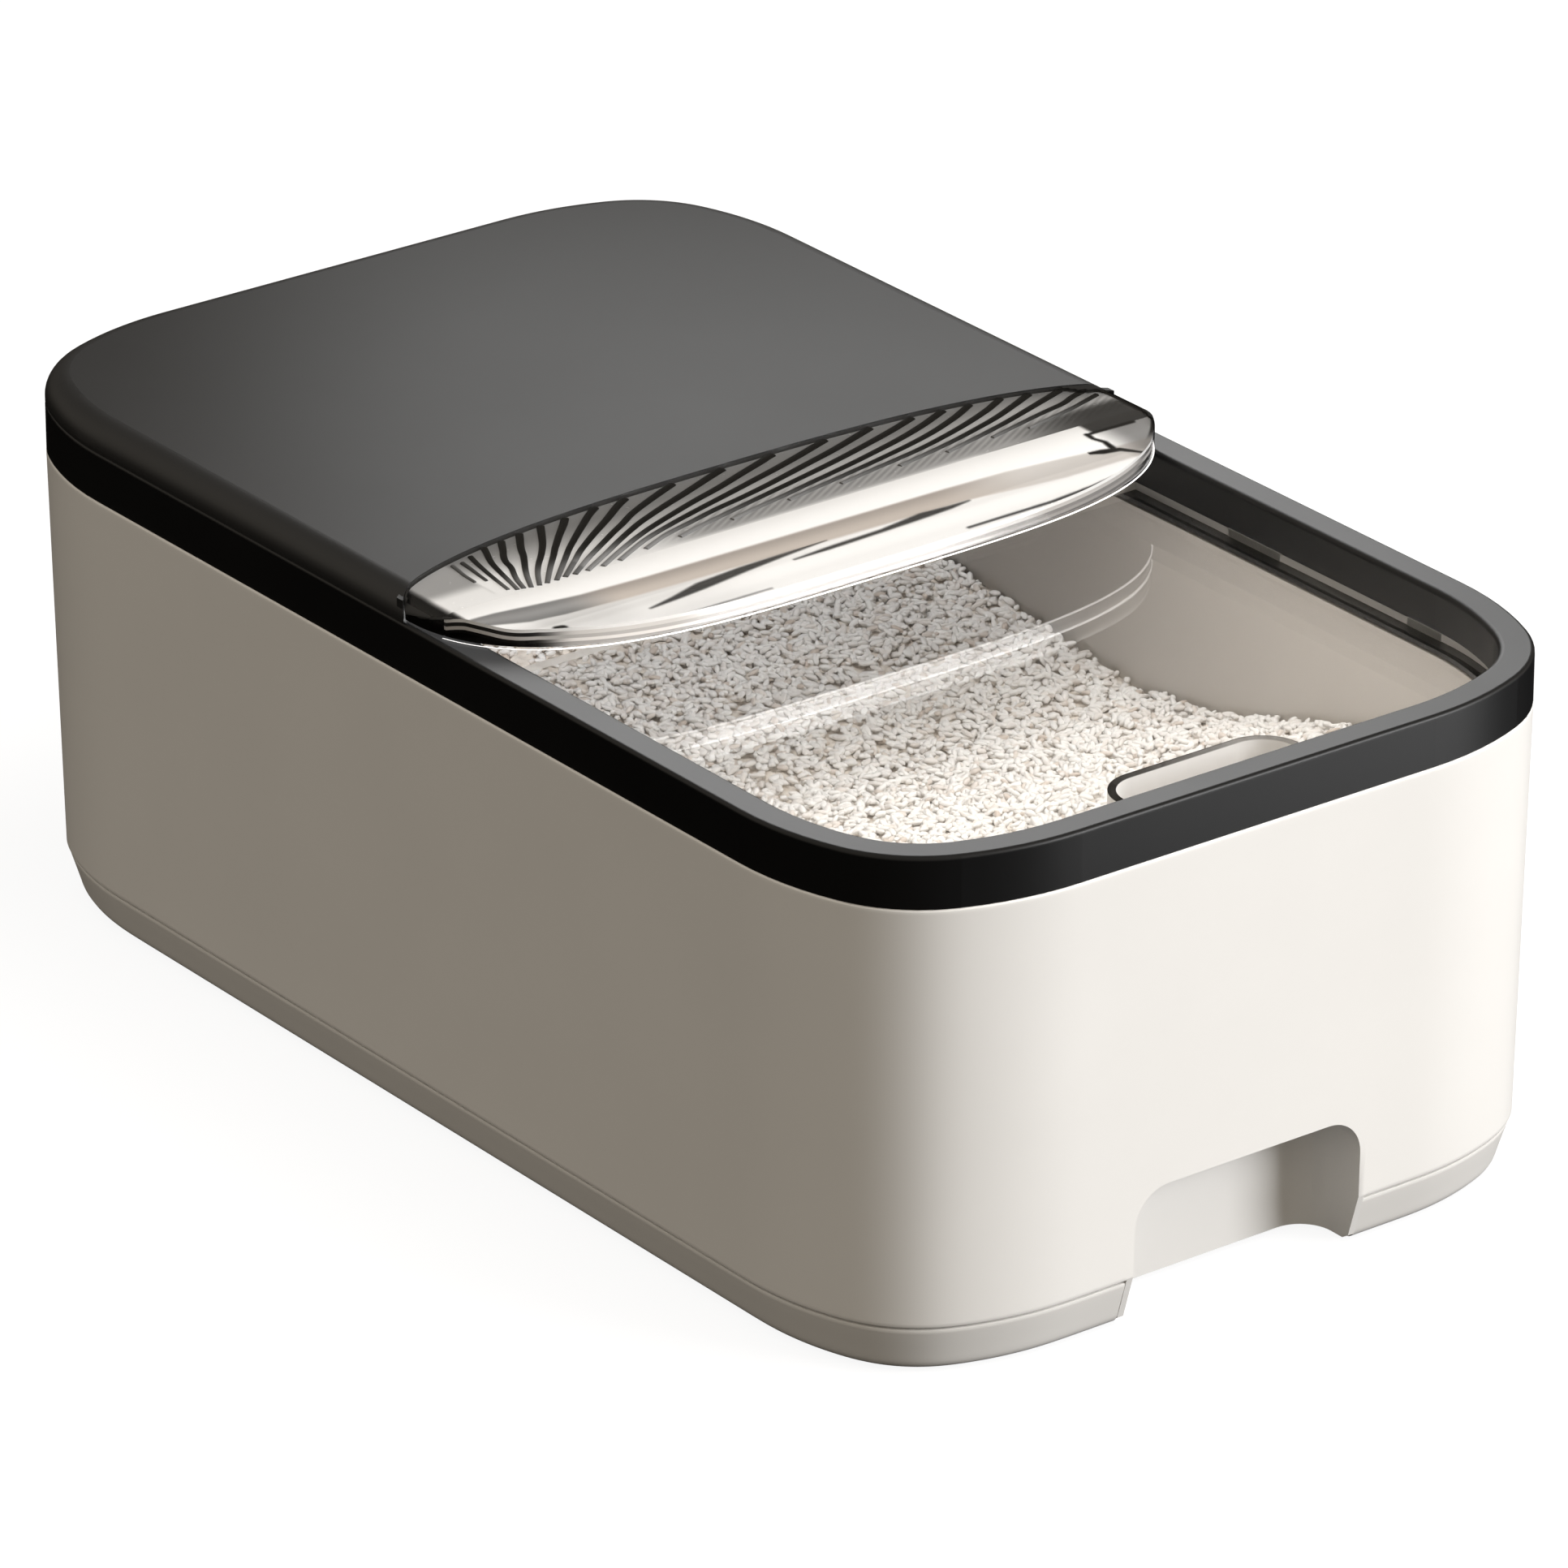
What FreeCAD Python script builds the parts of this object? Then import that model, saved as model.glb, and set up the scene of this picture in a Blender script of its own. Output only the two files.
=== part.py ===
import FreeCAD, Part
import math
import os
from FreeCAD import Vector as V

# Rice storage bin with a sliding clear lid, millimetres.
# +Z up, front towards -Y, origin on the floor under the middle of the bin.

# ---------------------------------------------------------------- dimensions
WIDTH = 240.0            # across the cover and the top of the shell
LENGTH = 415.2           # front to back
RIM_Z = 148.5            # top of the cover's rim
HOOD_Z = 156.5           # top of the rear hood
CORNER_R_END = 89.0      # plan corner: flatter arcs at its two ends
CORNER_R_MID = 40.0      # plan corner: tighter arc in its middle
CORNER_END_DEG = 22.0

SHELL_TOP_Z = 134.0      # shell meets the black cover band
SHELL_BOT_Z = 14.9
SHELL_TAPER = 2.3        # inset of the shell at its bottom edge
SHELL_T = 2.0

BASE_TOP_Z = 14.2
BASE_TOP_IN = 2.9
BASE_MID_Z = 3.2
BASE_MID_IN = 6.2
BASE_BOT_Z = 0.8
BASE_BOT_IN = 8.9
BASE_T = 2.2
BASE_FLOOR_LO = 3.0
BASE_FLOOR_HI = 5.4

PULL_HALF = 37.7         # hand recess in the lower front
PULL_TOP_Z = 39.5
PULL_BACK_Y = -184.5
PULL_R_TOP = 11.0
PULL_R_BACK = 10.0
PULL_WALL = 2.0

BIN_TOP_Z = 130.0        # food bin inside the shell
BIN_BOT_Z = 5.8
BIN_TOP_IN = 8.6
BIN_BOT_IN = 17.8
BIN_T = 1.8
BIN_FLOOR_T = 2.2

BAND_IN = 0.3            # cover band, inset from the shell's top edge
BAND_T = 2.0
RIM_IN = 9.8             # inner face of the rim
RIM_T = 1.6
RIM_TOP_T = 2.5
RIM_WALL_Z = 137.0       # lower end of the rim's inner wall
SKIRT_IN = 2.5
SKIRT_OUT = 3.7
SKIRT_Z = 126.0

TRACK_OUT = 4.0          # track ring that carries the sliding lid
TRACK_T = 0.9
TRACK_IN = 10.2
TRACK_LEDGE_LO = 130.6
TRACK_LEDGE_HI = 131.8

LID_IN = 6.0             # sliding lid outline
LID_LO = 132.1
LID_HI = 134.3
LID_REAR_Y = -15.0
LID_TRAVEL = 115.0
GRIP_HALF = 30.0         # raised finger lip on the lid
GRIP_BACK_Y = -174.6
GRIP_FRONT_Y = -197.0
GRIP_R = 12.0
GRIP_T = 2.2
GRIP_Z = 141.0

HOOD_T = 2.4
HOOD_EDGE_R = 7.0

VISOR_HALF = 119.5       # visor outline: two superellipse halves
VISOR_REAR = 21.0
VISOR_REAR_P = 2.8
VISOR_REAR_Q = 1.6
VISOR_FRONT = 51.0
VISOR_FRONT_P = 3.7
VISOR_FRONT_Q = 2.2
VISOR_T = 1.0
VISOR_GAP = 0.15         # between the cap and the pieces under it
VISOR_LO = 148.8
VISOR_TOP_Z = 156.4
VISOR_CURVE_Y = -8.0     # crown begins to fall away here
VISOR_CURVE_R = 440.0
BAR_REAR_Y = -13.9       # plated bar under the front of the visor

PLATE_Z = 154.4          # top of the grip plate, and of its ribs
RIB_Z = 155.2

SEAL_LO = 130.0
SEAL_HI = 130.6

A = WIDTH / 2
B = LENGTH / 2
TH = math.radians(CORNER_END_DEG)
EXT = CORNER_R_END - (CORNER_R_END - CORNER_R_MID) * (math.cos(TH) - math.sin(TH))


# ---------------------------------------------------------------- helpers
def corner_points(o):
    """Tangent points and mid points of one corner (+X, +Y), inset by o."""
    c1 = (A - CORNER_R_END, B - EXT)
    k = CORNER_R_END - CORNER_R_MID
    c2 = (c1[0] + k * math.cos(TH), c1[1] + k * math.sin(TH))
    c3 = (A - EXT, B - CORNER_R_END)
    r1 = CORNER_R_END - o
    r2 = CORNER_R_MID - o
    q = math.pi / 2

    def at(c, r, t):
        return (c[0] + r * math.cos(t), c[1] + r * math.sin(t))
    return [at(c1, r1, 0), at(c1, r1, TH / 2), at(c1, r1, TH),
            at(c2, r2, q / 2), at(c2, r2, q - TH),
            at(c3, r1, q - TH / 2), at(c3, r1, q)]


def outline(o, z):
    """Closed wire of the bin's plan outline, inset by o, at height z."""
    c = corner_points(o)
    quads = []
    quads.append([(x, y) for x, y in c])
    quads.append([(-x, y) for x, y in reversed(c)])
    quads.append([(-x, -y) for x, y in c])
    quads.append([(x, -y) for x, y in reversed(c)])
    edges = []
    for i, p in enumerate(quads):
        v = [V(x, y, z) for x, y in p]
        edges.append(Part.Arc(v[0], v[1], v[2]).toShape())
        edges.append(Part.Arc(v[2], v[3], v[4]).toShape())
        edges.append(Part.Arc(v[4], v[5], v[6]).toShape())
        nx = quads[(i + 1) % 4][0]
        edges.append(Part.LineSegment(v[6], V(nx[0], nx[1], z)).toShape())
    return Part.Wire(edges)


def prism(o, z0, z1):
    return Part.Face(outline(o, z0)).extrude(V(0, 0, z1 - z0))


def taper(*levels):
    """Stack of ruled lofts through (inset, z) levels."""
    out = None
    for (o0, z0), (o1, z1) in zip(levels[:-1], levels[1:]):
        if abs(o0 - o1) < 1e-6:
            s = prism(o0, z0, z1)
        else:
            s = Part.makeLoft([outline(o0, z0), outline(o1, z1)], True, True)
        out = s if out is None else out.fuse(s)
    return out.removeSplitter() if len(levels) > 2 else out


def ring(o_out, o_in, z0, z1):
    return prism(o_out, z0, z1).cut(prism(o_in, z0 - 1, z1 + 1))


def box(x0, x1, y0, y1, z0, z1):
    return Part.makeBox(x1 - x0, y1 - y0, z1 - z0, V(x0, y0, z0))


def cyl(x, y, z0, z1, r):
    return Part.makeCylinder(r, z1 - z0, V(x, y, z0))


def rounded_plan(hx, y_front, y_back, r, z0, z1):
    """Prism, rounded at its two rear corners, straight at the front."""
    s = math.sqrt(0.5) * r
    e = [Part.LineSegment(V(-hx, y_front, z0), V(hx, y_front, z0)).toShape(),
         Part.LineSegment(V(hx, y_front, z0), V(hx, y_back - r, z0)).toShape(),
         Part.Arc(V(hx, y_back - r, z0), V(hx - r + s, y_back - r + s, z0),
                  V(hx - r, y_back, z0)).toShape(),
         Part.LineSegment(V(hx - r, y_back, z0), V(-hx + r, y_back, z0)).toShape(),
         Part.Arc(V(-hx + r, y_back, z0), V(-hx + r - s, y_back - r + s, z0),
                  V(-hx, y_back - r, z0)).toShape(),
         Part.LineSegment(V(-hx, y_back - r, z0), V(-hx, y_front, z0)).toShape()]
    return Part.Face(Part.Wire(e)).extrude(V(0, 0, z1 - z0))


def arch_front(hx, z_lo, z_hi, r, y0, y1):
    """Prism along Y with two rounded upper corners."""
    s = math.sqrt(0.5) * r
    e = [Part.LineSegment(V(-hx, y0, z_lo), V(hx, y0, z_lo)).toShape(),
         Part.LineSegment(V(hx, y0, z_lo), V(hx, y0, z_hi - r)).toShape(),
         Part.Arc(V(hx, y0, z_hi - r), V(hx - r + s, y0, z_hi - r + s),
                  V(hx - r, y0, z_hi)).toShape(),
         Part.LineSegment(V(hx - r, y0, z_hi), V(-hx + r, y0, z_hi)).toShape(),
         Part.Arc(V(-hx + r, y0, z_hi), V(-hx + r - s, y0, z_hi - r + s),
                  V(-hx, y0, z_hi - r)).toShape(),
         Part.LineSegment(V(-hx, y0, z_hi - r), V(-hx, y0, z_lo)).toShape()]
    return Part.Face(Part.Wire(e)).extrude(V(0, y1 - y0, 0))


def pull_pocket(grow, z_lo):
    """The hand recess, grown by a wall thickness on every side but below."""
    plan = rounded_plan(PULL_HALF + grow, -B - 20, PULL_BACK_Y + grow,
                        PULL_R_BACK + grow, z_lo, PULL_TOP_Z + grow)
    face = arch_front(PULL_HALF + grow, z_lo, PULL_TOP_Z + grow,
                      PULL_R_TOP + grow, -B - 20, PULL_BACK_Y + grow + 5)
    return plan.common(face)


def visor_points(inset, n=44):
    pts = []
    a = VISOR_HALF - inset
    for depth, p, q, s in ((VISOR_REAR - inset, VISOR_REAR_P, VISOR_REAR_Q, 1),
                           (VISOR_FRONT - inset, VISOR_FRONT_P, VISOR_FRONT_Q, -1)):
        half = []
        for k in range(n + 1):
            t = math.pi * k / n
            c, d = math.cos(t), math.sin(t)
            x = a * math.copysign(abs(c) ** (2 / p), c)
            y = depth * abs(d) ** (2 / q)
            half.append((x * s, y * s))
        pts.extend(half[:-1])
    return pts


def visor_prism(inset, z0, z1):
    pts = [V(x, y, z0) for x, y in visor_points(inset)]
    c = Part.BSplineCurve()
    c.interpolate(Points=pts, PeriodicFlag=True)
    return Part.Face(Part.Wire([c.toShape()])).extrude(V(0, 0, z1 - z0))


def crown_cut(drop, z_top):
    """Everything above the visor's falling crown, lowered by drop."""
    zc = z_top - drop
    y1 = -VISOR_FRONT - 6
    d = VISOR_CURVE_Y - y1
    z1 = zc - (VISOR_CURVE_R - math.sqrt(VISOR_CURVE_R ** 2 - d ** 2))
    dm = d / 2
    zm = zc - (VISOR_CURVE_R - math.sqrt(VISOR_CURVE_R ** 2 - dm ** 2))
    up = z_top + 20
    e = [Part.LineSegment(V(-200, 40, up), V(-200, 40, zc)).toShape(),
         Part.LineSegment(V(-200, 40, zc), V(-200, VISOR_CURVE_Y, zc)).toShape(),
         Part.Arc(V(-200, VISOR_CURVE_Y, zc), V(-200, VISOR_CURVE_Y - dm, zm),
                  V(-200, y1, z1)).toShape(),
         Part.LineSegment(V(-200, y1, z1), V(-200, y1, up)).toShape(),
         Part.LineSegment(V(-200, y1, up), V(-200, 40, up)).toShape()]
    return Part.Face(Part.Wire(e)).extrude(V(400, 0, 0))


def try_fillet(shape, radius, pick):
    edges = [e for e in shape.Edges if pick(e)]
    try:
        out = shape.makeFillet(radius, edges)
        if out.isValid() and out.Volume > 0:
            return out
    except Exception as err:
        print("fillet skipped:", err)
    return shape


parts = {}

# ---------------------------------------------------------------- lower bin
# Shell: tapered outer sleeve, open above and below, with the hand recess in
# its lower front. The recess walls run down inside the base.
outer = taper((SHELL_TAPER, SHELL_BOT_Z), (0.0, SHELL_TOP_Z))
outer = try_fillet(outer, 0.8, lambda e: e.BoundBox.ZMin > SHELL_TOP_Z - 0.01)
skin = outer.cut(taper((SHELL_TAPER + SHELL_T, SHELL_BOT_Z - 0.5),
                       (SHELL_T, SHELL_TOP_Z + 0.5)))
pocket = pull_pocket(0.0, -5)
grown = pull_pocket(PULL_WALL, 1.2)
# recess wall, trimmed to the shell's outer face
envelope = taper((SHELL_TAPER + 6.6, 1.0), (SHELL_TAPER, SHELL_BOT_Z), (0.0, SHELL_TOP_Z))
wall = grown.common(envelope).cut(pocket)
shell = skin.cut(pocket).fuse(wall)
BOSS_Y = (-120.0, 0.0, 120.0)
BOSS_X = 107.0
BOSS_R = 3.2
reach = taper((3.6, 5.0), (3.0, 24.5))
for sx in (-1, 1):
    for y in BOSS_Y:
        web = box(min(sx * BOSS_X, sx * 117), max(sx * BOSS_X, sx * 117),
                  y - 1.0, y + 1.0, 15.2, 24.0).common(reach)
        boss = cyl(sx * BOSS_X, y, BASE_FLOOR_HI, 24.0, BOSS_R).fuse(web).cut(
            cyl(sx * BOSS_X, y, BASE_FLOOR_HI - 1, 20.0, 1.6))
        shell = shell.fuse(boss)
parts["outer_shell"] = shell.removeSplitter()

# Base: shallow tray under the shell, with a locating lip inside the seam.
base = taper((BASE_BOT_IN, BASE_BOT_Z), (BASE_MID_IN, BASE_MID_Z), (BASE_TOP_IN, BASE_TOP_Z))
base = base.cut(taper((BASE_MID_IN + BASE_T, BASE_FLOOR_HI),
                      (BASE_TOP_IN + BASE_T, BASE_TOP_Z + 0.5)))
base = base.cut(prism(BASE_BOT_IN + 1.6, BASE_BOT_Z - 1, BASE_FLOOR_LO))
lip = ring(5.1, 6.6, BASE_FLOOR_HI, 19.0)
base = base.fuse(lip)
for sx in (-1, 1):
    for y in BOSS_Y:
        base = base.cut(box(sx * 113 - 3, sx * 113 + 3, y - 1.5, y + 1.5, 14.6, 20))
        base = base.cut(cyl(sx * BOSS_X, y, -1, 10, 1.7))
        base = base.cut(cyl(sx * BOSS_X, y, -1, 3.6, 2.8))
base = base.cut(pull_pocket(PULL_WALL + 0.4, -5))
FEET = [(sx * 88.0, sy * 172.0) for sx in (-1, 1) for sy in (-1, 1)]
parts["base_plinth"] = base.removeSplitter()

feet = []
for x, y in FEET:
    f = cyl(x, y, 0.0, BASE_FLOOR_LO, 9.0)
    f = try_fillet(f, 0.6, lambda e: e.BoundBox.ZMax < 0.01)
    feet.append(f)
parts["rubber_feet"] = Part.makeCompound(feet)

screws = []
for sx in (-1, 1):
    for y in BOSS_Y:
        s = cyl(sx * BOSS_X, y, 1.8, 3.6, 2.5).fuse(cyl(sx * BOSS_X, y, 3.6, 17.0, 1.5))
        slot = box(sx * BOSS_X - 2.0, sx * BOSS_X + 2.0, y - 0.4, y + 0.4, 1.0, 2.6)
        slot = slot.fuse(box(sx * BOSS_X - 0.4, sx * BOSS_X + 0.4, y - 2.0, y + 2.0, 1.0, 2.6))
        screws.append(s.cut(slot).removeSplitter())
parts["base_screws"] = Part.makeCompound(screws)

# Food bin: smooth liner with an outward top flange, stepped round the recess.
b_out = taper((BIN_BOT_IN, BIN_BOT_Z), (BIN_TOP_IN, BIN_TOP_Z))
b_out = try_fillet(b_out, 5.0, lambda e: e.BoundBox.ZMax < BIN_BOT_Z + 0.01)
b_in = taper((BIN_BOT_IN + BIN_T, BIN_BOT_Z + BIN_FLOOR_T), (BIN_TOP_IN + BIN_T, BIN_TOP_Z + 2.0))
b_in = try_fillet(b_in, 4.0, lambda e: e.BoundBox.ZMax < BIN_BOT_Z + BIN_FLOOR_T + 0.01)
step = 0.8
b_out = b_out.cut(pull_pocket(PULL_WALL + step, -5))
b_in = b_in.cut(pull_pocket(PULL_WALL + step + BIN_T, -5))
flange = ring(4.6, BIN_TOP_IN + 0.6, BIN_TOP_Z - 1.8, BIN_TOP_Z)
flange = flange.cut(prism(BIN_TOP_IN + BIN_T, BIN_TOP_Z - 5, BIN_TOP_Z + 5))
parts["inner_bin"] = b_out.fuse(flange).cut(b_in).removeSplitter()

# Rice: fills the lower bin, its surface sagging behind the scoop place and
# climbing towards the front.
RICE = [(200, 84), (120, 90), (30, 88), (-30, 81), (-60, 85), (-90, 92), (-115, 99),
        (-150, 106), (-205, 109)]
e = []
poly = [V(-150, 205, 0), V(-150, 205, 84)] + [V(-150, y, z) for y, z in RICE[1:]] + [V(-150, -205, 0)]
poly.append(poly[0])
for p0, p1 in zip(poly[:-1], poly[1:]):
    e.append(Part.LineSegment(p0, p1).toShape())
slab = Part.Face(Part.Wire(e)).extrude(V(300, 0, 0))
r_in = taper((BIN_BOT_IN + BIN_T + 0.15, BIN_BOT_Z + BIN_FLOOR_T + 0.1),
             (BIN_TOP_IN + BIN_T + 0.15, BIN_TOP_Z + 2.0))
r_in = try_fillet(r_in, 4.4, lambda e: e.BoundBox.ZMax < BIN_BOT_Z + BIN_FLOOR_T + 0.11)
r_in = r_in.cut(pull_pocket(PULL_WALL + step + BIN_T + 0.2, -5))
parts["rice_fill"] = r_in.common(slab)

# Seal between the food bin's flange and the cover's track.
parts["cover_seal"] = ring(5.2, 8.2, SEAL_LO, SEAL_HI)

# ---------------------------------------------------------------- cover
# Frame: rim all round the top, hollow underneath, with a skirt that drops
# inside the shell.
rim = prism(BAND_IN, SHELL_TOP_Z, RIM_Z)
rim = try_fillet(rim, 1.2, lambda e: e.BoundBox.ZMin > RIM_Z - 0.01)
rim = rim.cut(prism(BAND_IN + BAND_T, SHELL_TOP_Z - 1, RIM_Z - RIM_TOP_T))
hole = prism(RIM_IN, SHELL_TOP_Z - 5, RIM_Z + 5)
rim = rim.cut(hole)
rim = try_fillet(rim, 1.6, lambda e: e.BoundBox.ZMin > RIM_Z - 0.01
                 and abs(abs(e.BoundBox.Center.x)) < A - RIM_IN + 0.1
                 and max(abs(e.BoundBox.XMin), abs(e.BoundBox.XMax)) < A - RIM_IN + 0.05)
rim = rim.fuse(ring(RIM_IN - RIM_T, RIM_IN, RIM_WALL_Z, RIM_Z - RIM_TOP_T + 0.2))
rim = rim.fuse(ring(SKIRT_IN, SKIRT_OUT, SKIRT_Z, RIM_Z - RIM_TOP_T + 0.2))
rim = rim.fuse(ring(BAND_IN + BAND_T - 0.1, SKIRT_OUT, SHELL_TOP_Z + 2.0, RIM_Z - RIM_TOP_T + 0.2))

SCREW_O = 6.55
SCREWS = []
for sx in (-1, 1):
    for y in (30.0, 85.0, 140.0):
        SCREWS.append((sx * (A - SCREW_O), y))
SCREWS += [(-40.0, B - SCREW_O), (40.0, B - SCREW_O)]
for x, y in SCREWS:
    rim = rim.cut(cyl(x, y, 140, 150, 1.1))
parts["top_frame"] = rim.removeSplitter()

# Hood: rear cover, same outline as the frame, soft edge all round the back.
hood = prism(BAND_IN, RIM_Z, HOOD_Z)
hood = try_fillet(hood, HOOD_EDGE_R, lambda e: e.BoundBox.ZMin > HOOD_Z - 0.01)
inner = prism(BAND_IN + HOOD_T, RIM_Z - 1, HOOD_Z - HOOD_T)
inner = try_fillet(inner, HOOD_EDGE_R - HOOD_T, lambda e: e.BoundBox.ZMin > HOOD_Z - HOOD_T - 0.01)
hood = hood.cut(inner)
front_rib = visor_prism(-2.4, 151.4, HOOD_Z - HOOD_T + 0.5).cut(
    box(-200, 200, -200, 0.5, 100, 200)).common(prism(BAND_IN + 0.5, RIM_Z, HOOD_Z))
hood = hood.fuse(front_rib)
for x, y in SCREWS:
    hood = hood.fuse(cyl(x, y, RIM_Z, HOOD_Z - HOOD_T + 0.5, 2.6))
hood = hood.cut(box(-200, 200, -300, 0.5, 100, 200))
hood = hood.cut(visor_prism(-0.2, 100, 200))
for x, y in SCREWS:
    hood = hood.cut(cyl(x, y, RIM_Z - 1, 153.2, 0.95))
VSCREWS = [(-84.0, 27.0), (-28.0, 27.0), (28.0, 27.0), (84.0, 27.0)]
for x, y in VSCREWS:
    hood = hood.fuse(cyl(x, y, 151.2, HOOD_Z - HOOD_T + 0.5, 2.8)).cut(
        cyl(x, y, 150, 155.2, 0.95))
DSCREWS = [(-42.0, 150.0), (42.0, 150.0), (-42.0, 176.0), (42.0, 176.0)]
for x, y in DSCREWS:
    hood = hood.cut(cyl(x, y, 150, 155.4, 0.95))
hs = hood.removeSplitter()
if len(hs.Solids) > 1:
    hs = max(hs.Solids, key=lambda s: s.Volume)
parts["hood"] = hs

cs = []
for x, y in SCREWS:
    s = cyl(x, y, 142.4, 144.0, 1.5).fuse(cyl(x, y, 144.0, 153.0, 0.9))
    s = s.cut(box(x - 1.0, x + 1.0, y - 0.2, y + 0.2, 142.0, 143.0))
    cs.append(s.removeSplitter())
parts["cover_screws"] = Part.makeCompound(cs)

# Track: ring under the rim that carries the lid's edges.
track = ring(TRACK_OUT, TRACK_IN, TRACK_LEDGE_LO, TRACK_LEDGE_HI)
track = track.fuse(ring(TRACK_OUT, TRACK_OUT + TRACK_T, TRACK_LEDGE_HI, 146.0))
track = track.fuse(ring(TRACK_OUT, RIM_IN - RIM_T - 0.1, 144.0, 146.0))
for x, y in SCREWS:
    track = track.cut(cyl(x, y, 140, 150, 1.1))
parts["slide_track"] = track.removeSplitter()

# Visor: clear crowned cap over the hood's front edge, flush with the hood and
# rounded down with it at both ends.
def hood_form(o):
    """The hood's soft outer form carried forward over the visor, inset by o."""
    f = prism(BAND_IN + o, RIM_Z - 2, HOOD_Z - o)
    return try_fillet(f, HOOD_EDGE_R - o, lambda e: e.BoundBox.ZMin > HOOD_Z - o - 0.01)


def visor_form(o, z_lo):
    f = visor_prism(o, z_lo, VISOR_TOP_Z - o).common(hood_form(o + 0.05))
    return f.cut(crown_cut(o, VISOR_TOP_Z))


v_slot = box(-97, 97, 8, 25, VISOR_LO - 1, 151.3)
parts["visor_lens"] = visor_form(0.0, VISOR_LO).cut(visor_form(VISOR_T, VISOR_LO - 1)).cut(
    v_slot).removeSplitter()

# Bright bar under the front of the visor: two long rolls.
core = visor_form(VISOR_T + VISOR_GAP, VISOR_LO + 0.4)
bar = core.common(box(-200, 200, -200, BAR_REAR_Y, 100, 200))
groove = Part.makeCylinder(9.0, 400, V(-200, -28.8, 162.6), V(1, 0, 0))
bar = bar.cut(groove)
parts["visor_bar"] = bar.removeSplitter()

# Grip plate and its fan of ribs, under the rear of the visor.
plate = core.common(box(-200, 200, BAR_REAR_Y + 0.2, 200, 100, PLATE_Z))
tongue = box(-96, 96, 12.0, 34.0, 149.2, 150.9)
for x, y in VSCREWS:
    tongue = tongue.cut(cyl(x, y, 140, 160, 1.1))
plate = plate.fuse(tongue).removeSplitter()
parts["grip_plate"] = plate

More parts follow.
